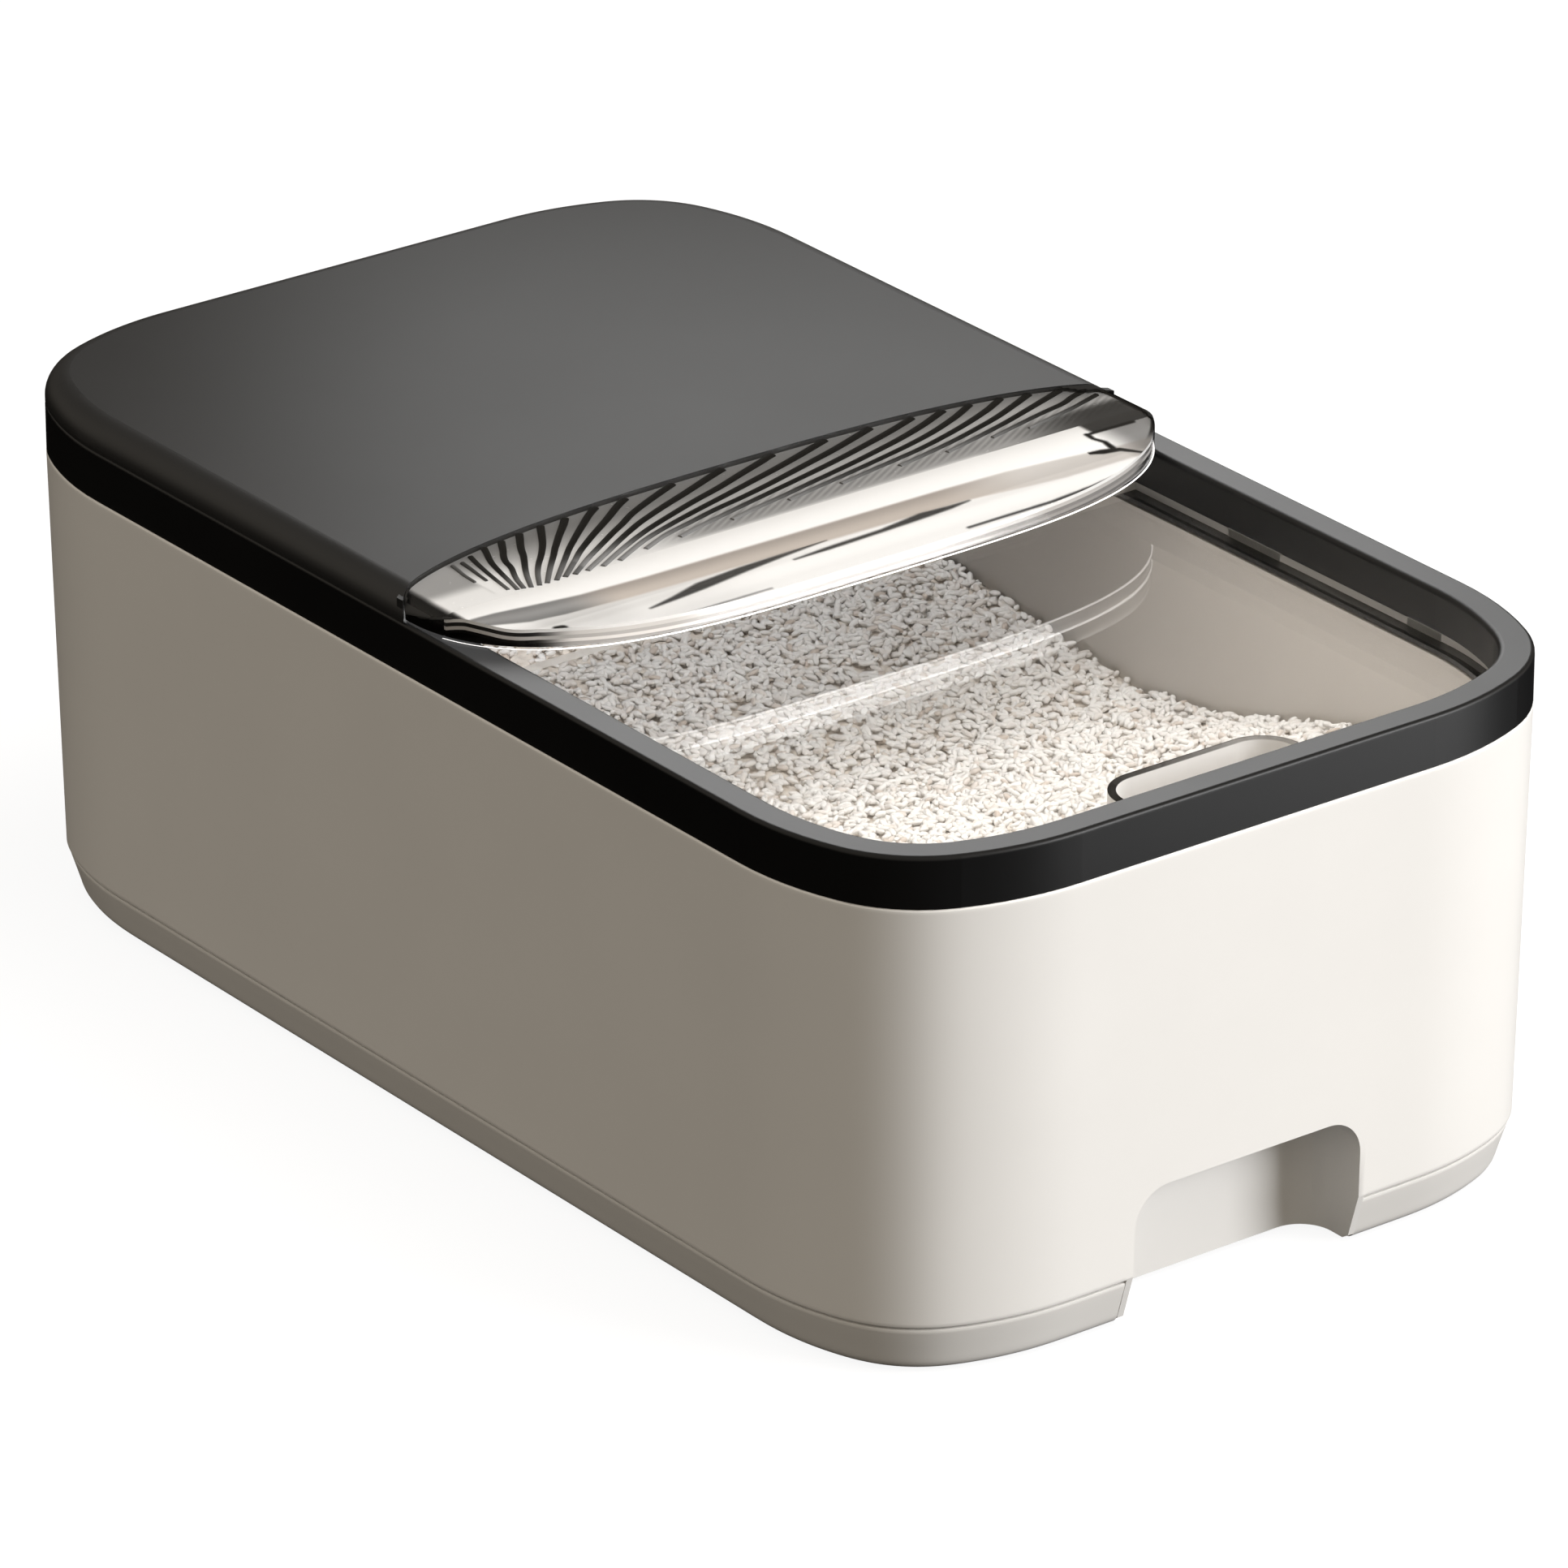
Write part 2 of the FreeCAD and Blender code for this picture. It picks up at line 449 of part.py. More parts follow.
# each rib: half width at its rear end, and its centre line from rear to front
RIBS = [
    (0.55, [(-95.9, 11.6), (-96.4, 8.1), (-97.1, 4.1), (-97.4, -0.9)]),
    (0.60, [(-92.7, 11.6), (-93.2, 7.1), (-93.9, 2.1), (-94.4, -1.9)]),
    (0.70, [(-88.6, 13.6), (-89.4, 10.6), (-90.3, 6.6), (-91.2, 2.1), (-92.1, -2.9), (-93.2, -9.9)]),
    (0.85, [(-82.4, 16.1), (-83.7, 13.1), (-85.0, 10.4), (-86.4, 7.1), (-87.6, 3.1), (-88.6, -0.9), (-89.8, -5.9), (-91.2, -11.4)]),
    (0.95, [(-75.7, 17.7), (-77.7, 14.4), (-79.4, 11.6), (-81.4, 8.6), (-83.0, 5.4), (-83.9, 2.1), (-84.8, -0.1), (-86.4, -3.3), (-87.9, -6.9), (-89.4, -11.7)]),
    (1.00, [(-69.0, 18.9), (-71.4, 15.1), (-73.4, 12.1), (-75.2, 9.1), (-76.9, 5.9), (-78.9, 2.7), (-80.6, 0.1), (-82.4, -2.8), (-84.4, -6.3), (-87.4, -12.2)]),
    (1.00, [(-61.0, 20.5), (-63.4, 16.6), (-65.9, 12.7), (-68.4, 9.0), (-71.4, 5.2), (-74.0, 2.2), (-76.4, -0.4), (-78.8, -3.3), (-81.4, -6.9), (-84.9, -12.5)]),
    (1.05, [(-51.8, 21.5), (-55.4, 17.3), (-58.4, 14.2), (-61.4, 11.2), (-64.4, 8.0), (-67.4, 4.8), (-70.4, 1.3), (-74.4, -3.1), (-78.4, -7.7), (-82.4, -12.5)]),
    (1.05, [(-40.8, 21.7), (-44.9, 19.1), (-48.4, 16.4), (-52.4, 13.0), (-56.4, 9.6), (-60.4, 6.1), (-64.4, 2.5), (-68.4, -1.5), (-72.4, -5.5), (-79.4, -12.5)]),
    (1.10, [(-29.8, 22.1), (-34.4, 19.7), (-38.4, 17.1), (-43.4, 13.4), (-48.4, 9.9), (-53.4, 6.5), (-58.4, 2.9), (-63.4, -0.9), (-68.4, -5.3), (-76.9, -12.6)]),
    (1.10, [(-14.0, 22.3), (-18.4, 20.3), (-23.4, 18.1), (-28.4, 15.8), (-33.4, 13.4), (-38.4, 10.7), (-43.4, 7.4), (-48.4, 4.4), (-53.4, 1.2), (-58.4, -2.0), (-64.4, -5.9), (-73.9, -12.7)]),
    (1.15, [(2.6, 22.1), (-3.4, 19.9), (-8.4, 17.9), (-18.4, 13.8), (-28.4, 9.9), (-38.4, 5.6), (-43.4, 3.0), (-48.4, 0.2), (-53.4, -2.8), (-58.4, -5.9), (-69.9, -12.7)]),
    (1.15, [(21.1, 22.5), (14.6, 20.4), (11.6, 19.1), (1.6, 15.4), (-8.4, 11.6), (-18.4, 8.4), (-28.4, 4.8), (-38.4, 1.0), (-43.4, -1.2), (-48.4, -3.6), (-56.4, -7.9), (-64.9, -12.7)]),
    (1.15, [(38.6, 22.3), (31.6, 19.7), (21.6, 16.1), (11.6, 12.8), (1.6, 9.8), (-8.4, 6.8), (-18.4, 3.9), (-28.4, 0.9), (-38.4, -2.4), (-43.4, -4.3), (-48.4, -6.6), (-58.4, -11.9)]),
    (1.15, [(54.6, 22.3), (51.6, 20.9), (41.6, 17.2), (31.6, 13.7), (21.6, 10.7), (11.6, 7.7), (1.6, 4.8), (-8.4, 2.3), (-18.4, 0.1), (-28.4, -2.7), (-38.4, -5.5), (-48.4, -9.9)]),
    (1.10, [(69.1, 21.7), (61.6, 18.4), (51.6, 14.7), (41.6, 11.5), (31.6, 8.5), (21.6, 5.8), (11.6, 3.3), (1.6, 0.9), (-8.4, -1.5), (-18.4, -4.0), (-28.4, -6.5), (-36.4, -8.9)]),
    (1.10, [(80.6, 21.1), (71.6, 17.3), (61.6, 12.9), (51.6, 9.3), (41.6, 6.4), (31.6, 3.7), (21.6, 1.3), (11.6, -1.0), (1.6, -3.4), (-8.4, -5.5), (-18.4, -7.9)]),
    (1.05, [(89.1, 20.1), (81.6, 17.0), (76.6, 14.3), (71.6, 11.8), (61.6, 7.7), (51.6, 4.6), (41.6, 2.1), (31.6, -0.2), (21.6, -2.3), (11.6, -4.3), (1.6, -6.5)]),
    (1.05, [(97.6, 18.6), (91.6, 15.7), (86.6, 13.0), (81.6, 10.5), (71.6, 6.5), (61.6, 3.2), (51.6, 0.4), (41.6, -1.7), (31.6, -3.6), (19.6, -5.9)]),
    (1.05, [(105.1, 15.7), (101.6, 14.1), (96.6, 12.0), (91.6, 9.7), (81.6, 5.4), (71.6, 2.1), (61.6, -0.8), (51.6, -3.2), (39.6, -5.7)]),
    (1.05, [(112.6, 11.3), (106.6, 9.7), (101.6, 8.0), (91.6, 4.5), (81.6, 1.1), (71.6, -1.8), (63.6, -3.9), (55.6, -5.9)]),
    (0.95, [(115.2, 6.5), (111.6, 5.6), (106.6, 4.1), (101.6, 2.0), (91.6, -0.2), (81.6, -2.7), (71.6, -5.3)]),
    (0.75, [(113.1, 1.4), (106.6, -0.6), (101.6, -2.1), (91.6, -4.4), (83.6, -6.1)]),
]
zone = visor_form(VISOR_T + VISOR_GAP + 0.1, PLATE_Z).common(
    box(-200, 200, BAR_REAR_Y + 0.4, 200, PLATE_Z, 200))
ribs = []
for w, line in RIBS:
    n = len(line)
    left, right = [], []
    for i, (x, y) in enumerate(line):
        x0, y0 = line[max(i - 1, 0)]
        x1, y1 = line[min(i + 1, n - 1)]
        d = math.hypot(x1 - x0, y1 - y0)
        nx, ny = -(y1 - y0) / d, (x1 - x0) / d
        h = w * (1 - 0.6 * i / (n - 1))
        left.append(V(x + nx * h, y + ny * h, PLATE_Z))
        right.append(V(x - nx * h, y - ny * h, PLATE_Z))
    pts = left + right[::-1]
    pts.append(pts[0])
    f = Part.Face(Part.makePolygon(pts)).extrude(V(0, 0, RIB_Z - PLATE_Z)).common(zone)
    ribs.extend(f.Solids)
parts["grip_ribs"] = Part.makeCompound(ribs)

vs = []
for x, y in VSCREWS:
    s = cyl(x, y, 147.7, 149.2, 2.2).fuse(cyl(x, y, 149.2, 155.0, 0.9))
    s = s.cut(box(x - 1.4, x + 1.4, y - 0.25, y + 0.25, 147.0, 148.3))
    vs.append(s.removeSplitter())
parts["visor_screws"] = Part.makeCompound(vs)

# Wiper: soft strip that closes the gap between grip plate and sliding lid.
wiper = box(-98, 98, 4.0, 9.0, 147.6, 149.2).fuse(box(-107, 107, 5.6, 7.4, 135.0, 147.6))
wiper = wiper.fuse(box(-107, 107, 5.9, 7.1, 134.6, 135.0))
parts["lid_wiper"] = wiper.removeSplitter()

# Moisture absorber: open-bottomed box under the rear of the hood.
dbox = box(-46, 46, 140, 188, 139.0, 154.1).cut(box(-44.4, 44.4, 141.6, 186.4, 138, 152.5))
for x, y in DSCREWS:
    dbox = dbox.cut(cyl(x, y, 150, 160, 1.1))
for sx in (-1, 1):
    ear = box(sx * 45.2 - 0.8, sx * 45.2 + 0.8, 182.5, 187.5, 134.9, 139.2)
    dbox = dbox.fuse(ear)
dbox = dbox.cut(Part.makeCylinder(1.05, 100, V(-50, 185.0, 137.2), V(1, 0, 0)))
dbox = dbox.cut(box(-44.4, 44.4, 182.0, 189.0, 138, 140.2))
parts["absorber_box"] = dbox.removeSplitter()
ds = []
for x, y in DSCREWS:
    s = cyl(x, y, 151.0, 152.5, 2.0).fuse(cyl(x, y, 152.5, 155.2, 0.9))
    ds.append(s.removeSplitter())
parts["absorber_screws"] = Part.makeCompound(ds)
pack = box(-38, 38, 144, 180, 140.6, 149.8)
pack = try_fillet(pack, 3.0, lambda e: True)
parts["absorber_pack"] = pack

door = box(-45.8, 45.8, 140.4, 182.0, 137.2, 138.6)
door = door.fuse(box(-44.0, 44.0, 181.0, 186.4, 136.0, 138.4))
door = door.cut(Part.makeCylinder(1.0, 100, V(-50, 185.0, 137.2), V(1, 0, 0)))
for i in range(11):
    x = -35 + 7 * i
    door = door.cut(box(x - 1.1, x + 1.1, 147, 175, 130, 145))
door = door.cut(box(-44.4 - 2, -44.1, 180.5, 190, 130, 145)).cut(box(44.1, 46.4, 180.5, 190, 130, 145))
door = door.fuse(box(-8, 8, 139.6, 142.0, 135.2, 137.3))
parts["absorber_door"] = door.removeSplitter()
parts["door_pin"] = Part.makeCylinder(1.0, 91.6, V(-45.8, 185.0, 137.2), V(1, 0, 0))

# ---------------------------------------------------------------- sliding lid
lid = prism(LID_IN, LID_LO, LID_HI).common(box(-200, 200, -300, LID_REAR_Y, 100, 200))
lid = lid.cut(box(-200, -A + LID_IN + 0.0, -300, 300, 100, 200))
grip = rounded_plan(GRIP_HALF, GRIP_FRONT_Y, GRIP_BACK_Y, GRIP_R, LID_HI - 0.2, GRIP_Z)
grip = grip.cut(rounded_plan(GRIP_HALF - GRIP_T, GRIP_FRONT_Y - 5, GRIP_BACK_Y - GRIP_T,
                             GRIP_R - GRIP_T, LID_HI - 1, GRIP_Z + 1))
lid = lid.fuse(grip)
parts["lid_panel"] = lid.removeSplitter()
gl = []
for sx in (-1, 1):
    for y, h in ((-137.0, 7.0), (-66.0, 11.0)):
        x0 = A - LID_IN
        g = box(x0, x0 + 0.7, y - h, y + h, LID_LO - 0.15, LID_HI + 0.15)
        if sx < 0:
            g = box(-x0 - 0.7, -x0, y - h, y + h, LID_LO - 0.15, LID_HI + 0.15)
        gl.append(g)
parts["lid_gliders"] = Part.makeCompound(gl)
parts["lid_bumper"] = box(-52, 52, -B + LID_IN - 0.7, -B + LID_IN, LID_LO + 0.1, LID_HI - 0.1)

# ---------------------------------------------------------------- write
os.makedirs("parts", exist_ok=True)
for old in os.listdir("parts"):
    if old.endswith(".step") and old[:-5] not in parts:
        os.remove(os.path.join("parts", old))
for name, shape in parts.items():
    n = len(shape.Solids)
    bb = shape.BoundBox
    print("%-18s solids %2d valid %s vol %.0f  x %.1f %.1f y %.1f %.1f z %.1f %.1f" % (
        name, n, shape.isValid(), shape.Volume, bb.XMin, bb.XMax, bb.YMin, bb.YMax, bb.ZMin, bb.ZMax))
    if n == 1 and shape.ShapeType != "Solid":
        shape = shape.Solids[0]
    shape.exportStep("parts/%s.step" % name)
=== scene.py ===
import bpy, bmesh
import math
import random
from mathutils import Matrix, Vector


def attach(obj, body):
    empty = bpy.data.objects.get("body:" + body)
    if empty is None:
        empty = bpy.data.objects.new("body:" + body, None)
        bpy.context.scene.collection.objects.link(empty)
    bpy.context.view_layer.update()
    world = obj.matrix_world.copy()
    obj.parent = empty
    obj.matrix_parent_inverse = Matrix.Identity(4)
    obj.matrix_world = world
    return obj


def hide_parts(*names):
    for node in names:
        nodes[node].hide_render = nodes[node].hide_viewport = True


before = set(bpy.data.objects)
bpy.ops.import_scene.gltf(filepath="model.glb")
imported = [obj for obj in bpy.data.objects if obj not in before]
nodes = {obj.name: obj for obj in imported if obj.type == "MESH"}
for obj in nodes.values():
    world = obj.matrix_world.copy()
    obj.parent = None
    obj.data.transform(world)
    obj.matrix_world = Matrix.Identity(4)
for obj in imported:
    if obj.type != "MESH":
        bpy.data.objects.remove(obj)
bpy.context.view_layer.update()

scene = bpy.context.scene
MM = 0.001

# ------------------------------------------------------------ shapes shared with the CAD
A, B = 120.0, 207.6
TH = math.radians(22)
EXT = 89 - (89 - 40) * (math.cos(TH) - math.sin(TH))


def smooth(o, on=True):
    o.data.polygons.foreach_set("use_smooth", [on] * len(o.data.polygons))
    o.data.update()


def new_object(name, verts, faces, mat=None, shade=True):
    me = bpy.data.meshes.new(name)
    me.from_pydata([tuple(c * MM for c in v) for v in verts], [], faces)
    me.validate()
    me.update()
    o = bpy.data.objects.new(name, me)
    scene.collection.objects.link(o)
    smooth(o, shade)
    if mat is not None:
        me.materials.append(mat)
    return o


def face_out(o):
    """Make every face of a closed mesh look outwards."""
    bm = bmesh.new()
    bm.from_mesh(o.data)
    bmesh.ops.recalc_face_normals(bm, faces=bm.faces)
    bm.to_mesh(o.data)
    bm.free()
    o.data.update()


def boolean(o, other, how):
    """Apply one exact boolean and drop the tool piece."""
    m = o.modifiers.new("cut", "BOOLEAN")
    m.operation = how
    m.solver = "EXACT"
    m.object = other
    dg = bpy.context.evaluated_depsgraph_get()
    me = bpy.data.meshes.new_from_object(o.evaluated_get(dg))
    o.modifiers.clear()
    old = o.data
    o.data = me
    bpy.data.meshes.remove(old)
    dead = other.data
    bpy.data.objects.remove(other)
    bpy.data.meshes.remove(dead)


def table(pts, t):
    """Smooth interpolation through (position, value) pairs."""
    if t <= pts[0][0]:
        return pts[0][1]
    for (a, u), (b, v) in zip(pts[:-1], pts[1:]):
        if t <= b:
            return u + (v - u) * (t - a) / (b - a)
    return pts[-1][1]


def step(a, b, t):
    k = min(1.0, max(0.0, (t - a) / (b - a)))
    return k * k * (3 - 2 * k)


# ------------------------------------------------------------ materials
def nodetree(name):
    m = bpy.data.materials.new(name)
    m.use_nodes = True
    nt = m.node_tree
    for n in list(nt.nodes):
        nt.nodes.remove(n)
    out = nt.nodes.new("ShaderNodeOutputMaterial")
    return m, nt, out


def add(nt, kind, **values):
    n = nt.nodes.new(kind)
    for k, v in values.items():
        if hasattr(n, k) and k not in n.inputs:
            setattr(n, k, v)
        else:
            n.inputs[k].default_value = v
    return n


def coords(nt, scale=(1, 1, 1)):
    tc = nt.nodes.new("ShaderNodeTexCoord")
    mp = nt.nodes.new("ShaderNodeMapping")
    mp.inputs["Scale"].default_value = scale
    nt.links.new(tc.outputs["Object"], mp.inputs["Vector"])
    return mp.outputs["Vector"]


def ramp(nt, fac, stops):
    r = nt.nodes.new("ShaderNodeValToRGB")
    r.color_ramp.elements[0].position = stops[0][0]
    r.color_ramp.elements[0].color = (*stops[0][1], 1)
    r.color_ramp.elements[1].position = stops[-1][0]
    r.color_ramp.elements[1].color = (*stops[-1][1], 1)
    for p, c in stops[1:-1]:
        e = r.color_ramp.elements.new(p)
        e.color = (*c, 1)
    nt.links.new(fac, r.inputs["Fac"])
    return r.outputs["Color"]


def to_range(nt, fac, lo, hi):
    r = nt.nodes.new("ShaderNodeMapRange")
    r.inputs["To Min"].default_value = lo
    r.inputs["To Max"].default_value = hi
    nt.links.new(fac, r.inputs["Value"])
    return r.outputs["Result"]


def moulded(name, colour, rough, grain=1400.0, bump=0.02, spread=0.03, spec=0.5,
            metallic=0.0, coat=0.0, coat_rough=0.1, depth=0.00004):
    """Moulded plastic: fine spark-eroded grain, slight tone and gloss variation."""
    m, nt, out = nodetree(name)
    v = coords(nt)
    fine = add(nt, "ShaderNodeTexNoise", Scale=grain, Detail=3.0, Roughness=0.6)
    wide = add(nt, "ShaderNodeTexNoise", Scale=18.0, Detail=4.0, Roughness=0.55)
    nt.links.new(v, fine.inputs["Vector"])
    nt.links.new(v, wide.inputs["Vector"])
    p = add(nt, "ShaderNodeBsdfPrincipled")
    p.inputs["Metallic"].default_value = metallic
    p.inputs["Specular IOR Level"].default_value = spec
    if coat:
        p.inputs["Coat Weight"].default_value = coat
        p.inputs["Coat Roughness"].default_value = coat_rough
    lo = tuple(max(0.0, c * (1 - spread)) for c in colour)
    hi = tuple(min(1.0, c * (1 + spread)) for c in colour)
    nt.links.new(ramp(nt, wide.outputs["Fac"], [(0.3, lo), (0.7, hi)]), p.inputs["Base Color"])
    nt.links.new(to_range(nt, wide.outputs["Fac"], rough - 0.03, rough + 0.03), p.inputs["Roughness"])
    b = add(nt, "ShaderNodeBump", Strength=bump * 10, Distance=depth)
    nt.links.new(fine.outputs["Fac"], b.inputs["Height"])
    nt.links.new(b.outputs["Normal"], p.inputs["Normal"])
    nt.links.new(p.outputs["BSDF"], out.inputs["Surface"])
    return m


def clear(name, tint=(1, 1, 1), ior=1.45, rough=0.02, gain=1.0, edges=0.0, wavy=0.05):
    """Thin clear plastic: what lies behind shows through, gloss by Fresnel; its upright faces take a painted edge
    light, a white diffuse standing in for light caught in the edges, and the finger lip's top edge a painted dark
    line.
    """
    m, nt, out = nodetree(name)
    v = coords(nt)
    wave = add(nt, "ShaderNodeTexNoise", Scale=9.0, Detail=1.0)
    nt.links.new(v, wave.inputs["Vector"])
    b = add(nt, "ShaderNodeBump", Strength=wavy, Distance=0.0004)
    nt.links.new(wave.outputs["Fac"], b.inputs["Height"])
    g = add(nt, "ShaderNodeBsdfGlossy", Roughness=rough)
    g.inputs["Color"].default_value = (1, 1, 1, 1)
    nt.links.new(b.outputs["Normal"], g.inputs["Normal"])
    t = add(nt, "ShaderNodeBsdfTransparent")
    t.inputs["Color"].default_value = (*tint, 1)
    lw = add(nt, "ShaderNodeLayerWeight", Blend=0.5)
    f0 = ((ior - 1) / (ior + 1)) ** 2
    pw = nt.nodes.new("ShaderNodeMath")
    pw.operation = "POWER"
    pw.inputs[1].default_value = 5.0
    sc = nt.nodes.new("ShaderNodeMath")
    sc.operation = "MULTIPLY_ADD"
    sc.use_clamp = True
    sc.inputs[1].default_value = (1 - f0) * gain
    sc.inputs[2].default_value = f0 * gain
    nt.links.new(lw.outputs["Facing"], pw.inputs[0])
    nt.links.new(pw.outputs["Value"], sc.inputs[0])
    mix = add(nt, "ShaderNodeMixShader")
    nt.links.new(sc.outputs["Value"], mix.inputs["Fac"])
    nt.links.new(t.outputs["BSDF"], mix.inputs[1])
    nt.links.new(g.outputs["BSDF"], mix.inputs[2])
    if not edges:
        nt.links.new(mix.outputs["Shader"], out.inputs["Surface"])
        return m
    # painted highlight: upright faces are mixed towards a white diffuse, more the more upright they stand
    tc = nt.nodes.new("ShaderNodeTexCoord")
    sep = nt.nodes.new("ShaderNodeSeparateXYZ")
    nt.links.new(tc.outputs["Normal"], sep.inputs[0])
    ab = nt.nodes.new("ShaderNodeMath")
    ab.operation = "ABSOLUTE"
    nt.links.new(sep.outputs["Z"], ab.inputs[0])
    side = nt.nodes.new("ShaderNodeMapRange")
    side.inputs["From Min"].default_value = 0.9
    side.inputs["From Max"].default_value = 0.5
    side.inputs["To Min"].default_value = 0.0
    side.inputs["To Max"].default_value = edges
    nt.links.new(ab.outputs["Value"], side.inputs["Value"])
    painted_edge_light = add(nt, "ShaderNodeBsdfDiffuse", Roughness=0.2)
    painted_edge_light.inputs["Color"].default_value = (0.95, 0.94, 0.93, 1)
    last = add(nt, "ShaderNodeMixShader")
    nt.links.new(side.outputs["Result"], last.inputs["Fac"])
    nt.links.new(mix.outputs["Shader"], last.inputs[1])
    nt.links.new(painted_edge_light.outputs["BSDF"], last.inputs[2])
    # painted shade: the finger lip's top edge is painted dark at its left end, fading to the right, standing in for
    # the dark line its clear edge shows
    at = nt.nodes.new("ShaderNodeSeparateXYZ")
    nt.links.new(tc.outputs["Object"], at.inputs[0])
    top = nt.nodes.new("ShaderNodeMapRange")
    top.inputs["From Min"].default_value = 0.14070
    top.inputs["From Max"].default_value = 0.14090
    nt.links.new(at.outputs["Z"], top.inputs["Value"])
    fade = nt.nodes.new("ShaderNodeMapRange")
    fade.inputs["From Min"].default_value = -0.026
    fade.inputs["From Max"].default_value = 0.026
    fade.inputs["To Min"].default_value = 0.97
    fade.inputs["To Max"].default_value = 0.35
    nt.links.new(at.outputs["X"], fade.inputs["Value"])
    both = nt.nodes.new("ShaderNodeMath")
    both.operation = "MULTIPLY"
    nt.links.new(top.outputs["Result"], both.inputs[0])
    nt.links.new(fade.outputs["Result"], both.inputs[1])
    painted_dark = add(nt, "ShaderNodeBsdfDiffuse", Roughness=0.2)
    painted_dark.inputs["Color"].default_value = (0.02, 0.018, 0.016, 1)
    edge = add(nt, "ShaderNodeMixShader")
    nt.links.new(both.outputs["Value"], edge.inputs["Fac"])
    nt.links.new(last.outputs["Shader"], edge.inputs[1])
    nt.links.new(painted_dark.outputs["BSDF"], edge.inputs[2])
    nt.links.new(edge.outputs["Shader"], out.inputs["Surface"])
    return m


def frosted(name, colour, through, painted_edge_light):
    """Cut edge of clear plastic, frosted and partly see-through, with a painted glow: it emits its own light in place
    of light led to the edge.
    """
    m, nt, out = nodetree(name)
    v = coords(nt)
    n = add(nt, "ShaderNodeTexNoise", Scale=120.0, Detail=2.0)
    nt.links.new(v, n.inputs["Vector"])
    p = add(nt, "ShaderNodeBsdfPrincipled", Roughness=0.2)
    lo = tuple(c * 0.93 for c in colour)
    tone = ramp(nt, n.outputs["Fac"], [(0.3, lo), (0.7, colour)])
    nt.links.new(tone, p.inputs["Base Color"])
    # painted glow: the edge emits its own colour
    nt.links.new(tone, p.inputs["Emission Color"])
    p.inputs["Emission Strength"].default_value = painted_edge_light
    t = add(nt, "ShaderNodeBsdfTransparent")
    mix = add(nt, "ShaderNodeMixShader")
    mix.inputs["Fac"].default_value = 1 - through
    nt.links.new(t.outputs["BSDF"], mix.inputs[1])
    nt.links.new(p.outputs["BSDF"], mix.inputs[2])
    nt.links.new(mix.outputs["Shader"], out.inputs["Surface"])
    return m


def metal_with_painted_bands(name, rough, metallic, warm=(1.0, 0.90, 0.82), spec=0.3):
    """Plated metal whose colour and warmth come from the piece's tone and warm attributes, which hold painted
    reflections, painted highlights and painted shadow lines.
    """
    m, nt, out = nodetree(name)
    v = coords(nt)
    tone = add(nt, "ShaderNodeAttribute")
    tone.attribute_name = "tone"
    wm = add(nt, "ShaderNodeAttribute")
    wm.attribute_name = "warm"
    fine = add(nt, "ShaderNodeTexNoise", Scale=500.0, Detail=2.0)
    nt.links.new(v, fine.inputs["Vector"])
    tint = add(nt, "ShaderNodeMix")
    tint.data_type = "RGBA"
    tint.inputs[6].default_value = (1, 1, 1, 1)
    tint.inputs[7].default_value = (*warm, 1)
    nt.links.new(wm.outputs["Fac"], tint.inputs[0])
    mul = add(nt, "ShaderNodeMix")
    mul.data_type = "RGBA"
    mul.blend_type = "MULTIPLY"
    mul.inputs[0].default_value = 1.0
    nt.links.new(tint.outputs[2], mul.inputs[6])
    nt.links.new(tone.outputs["Fac"], mul.inputs[7])
    p = add(nt, "ShaderNodeBsdfPrincipled")
    p.inputs["Metallic"].default_value = metallic
    p.inputs["Specular IOR Level"].default_value = spec
    nt.links.new(mul.outputs[2], p.inputs["Base Color"])
    nt.links.new(to_range(nt, fine.outputs["Fac"], rough - 0.03, rough + 0.03), p.inputs["Roughness"])
    b = add(nt, "ShaderNodeBump", Strength=0.06, Distance=0.00005)
    nt.links.new(fine.outputs["Fac"], b.inputs["Height"])
    nt.links.new(b.outputs["Normal"], p.inputs["Normal"])
    nt.links.new(p.outputs["BSDF"], out.inputs["Surface"])
    return m


CREAM = moulded("cream_body", (0.825, 0.812, 0.79), 0.42, grain=1500, bump=0.015, spread=0.012)
CREAM_BASE = moulded("cream_base", (0.81, 0.795, 0.77), 0.45, grain=1500, bump=0.015, spread=0.012)
BIN = moulded("bin_plastic", (0.80, 0.77, 0.74), 0.35, grain=1500, bump=0.01, spread=0.015)
HOOD_BLACK = moulded("hood_black", (0.0115, 0.0115, 0.0117), 0.47, grain=2400, bump=0.02, spread=0.12, spec=0.4)
RIM_BLACK = moulded("rim_black", (0.003, 0.003, 0.0032), 0.42, grain=2400, bump=0.02, spread=0.15, spec=0.32)
TRACK_BLACK = moulded("track_black", (0.016, 0.016, 0.0162), 0.3, grain=2000, bump=0.01, spread=0.1)
BOX_BLACK = moulded("box_black", (0.02, 0.02, 0.021), 0.5, grain=1200, bump=0.02, spread=0.1)
# painted reflections: the bar, fan plate and ribs take their colour from painted tone attributes
BAR = metal_with_painted_bands("bright_plate", 0.16, 0.15)
PLATE = metal_with_painted_bands("grip_silver", 0.26, 0.25)
RIB_BLACK = metal_with_painted_bands("grip_black", 0.3, 0.0, spec=0.08)
SEAL = moulded("seal_silicone", (0.07, 0.07, 0.072), 0.6, grain=900, bump=0.02, spread=0.08)
RUBBER = moulded("foot_rubber", (0.05, 0.05, 0.052), 0.75, grain=700, bump=0.05, spread=0.1)
STEEL = moulded("screw_steel", (0.62, 0.62, 0.64), 0.28, grain=900, bump=0.01, spread=0.06, metallic=1.0)
GLIDE = moulded("glider_white", (0.8, 0.8, 0.79), 0.4, grain=900, bump=0.01, spread=0.03)
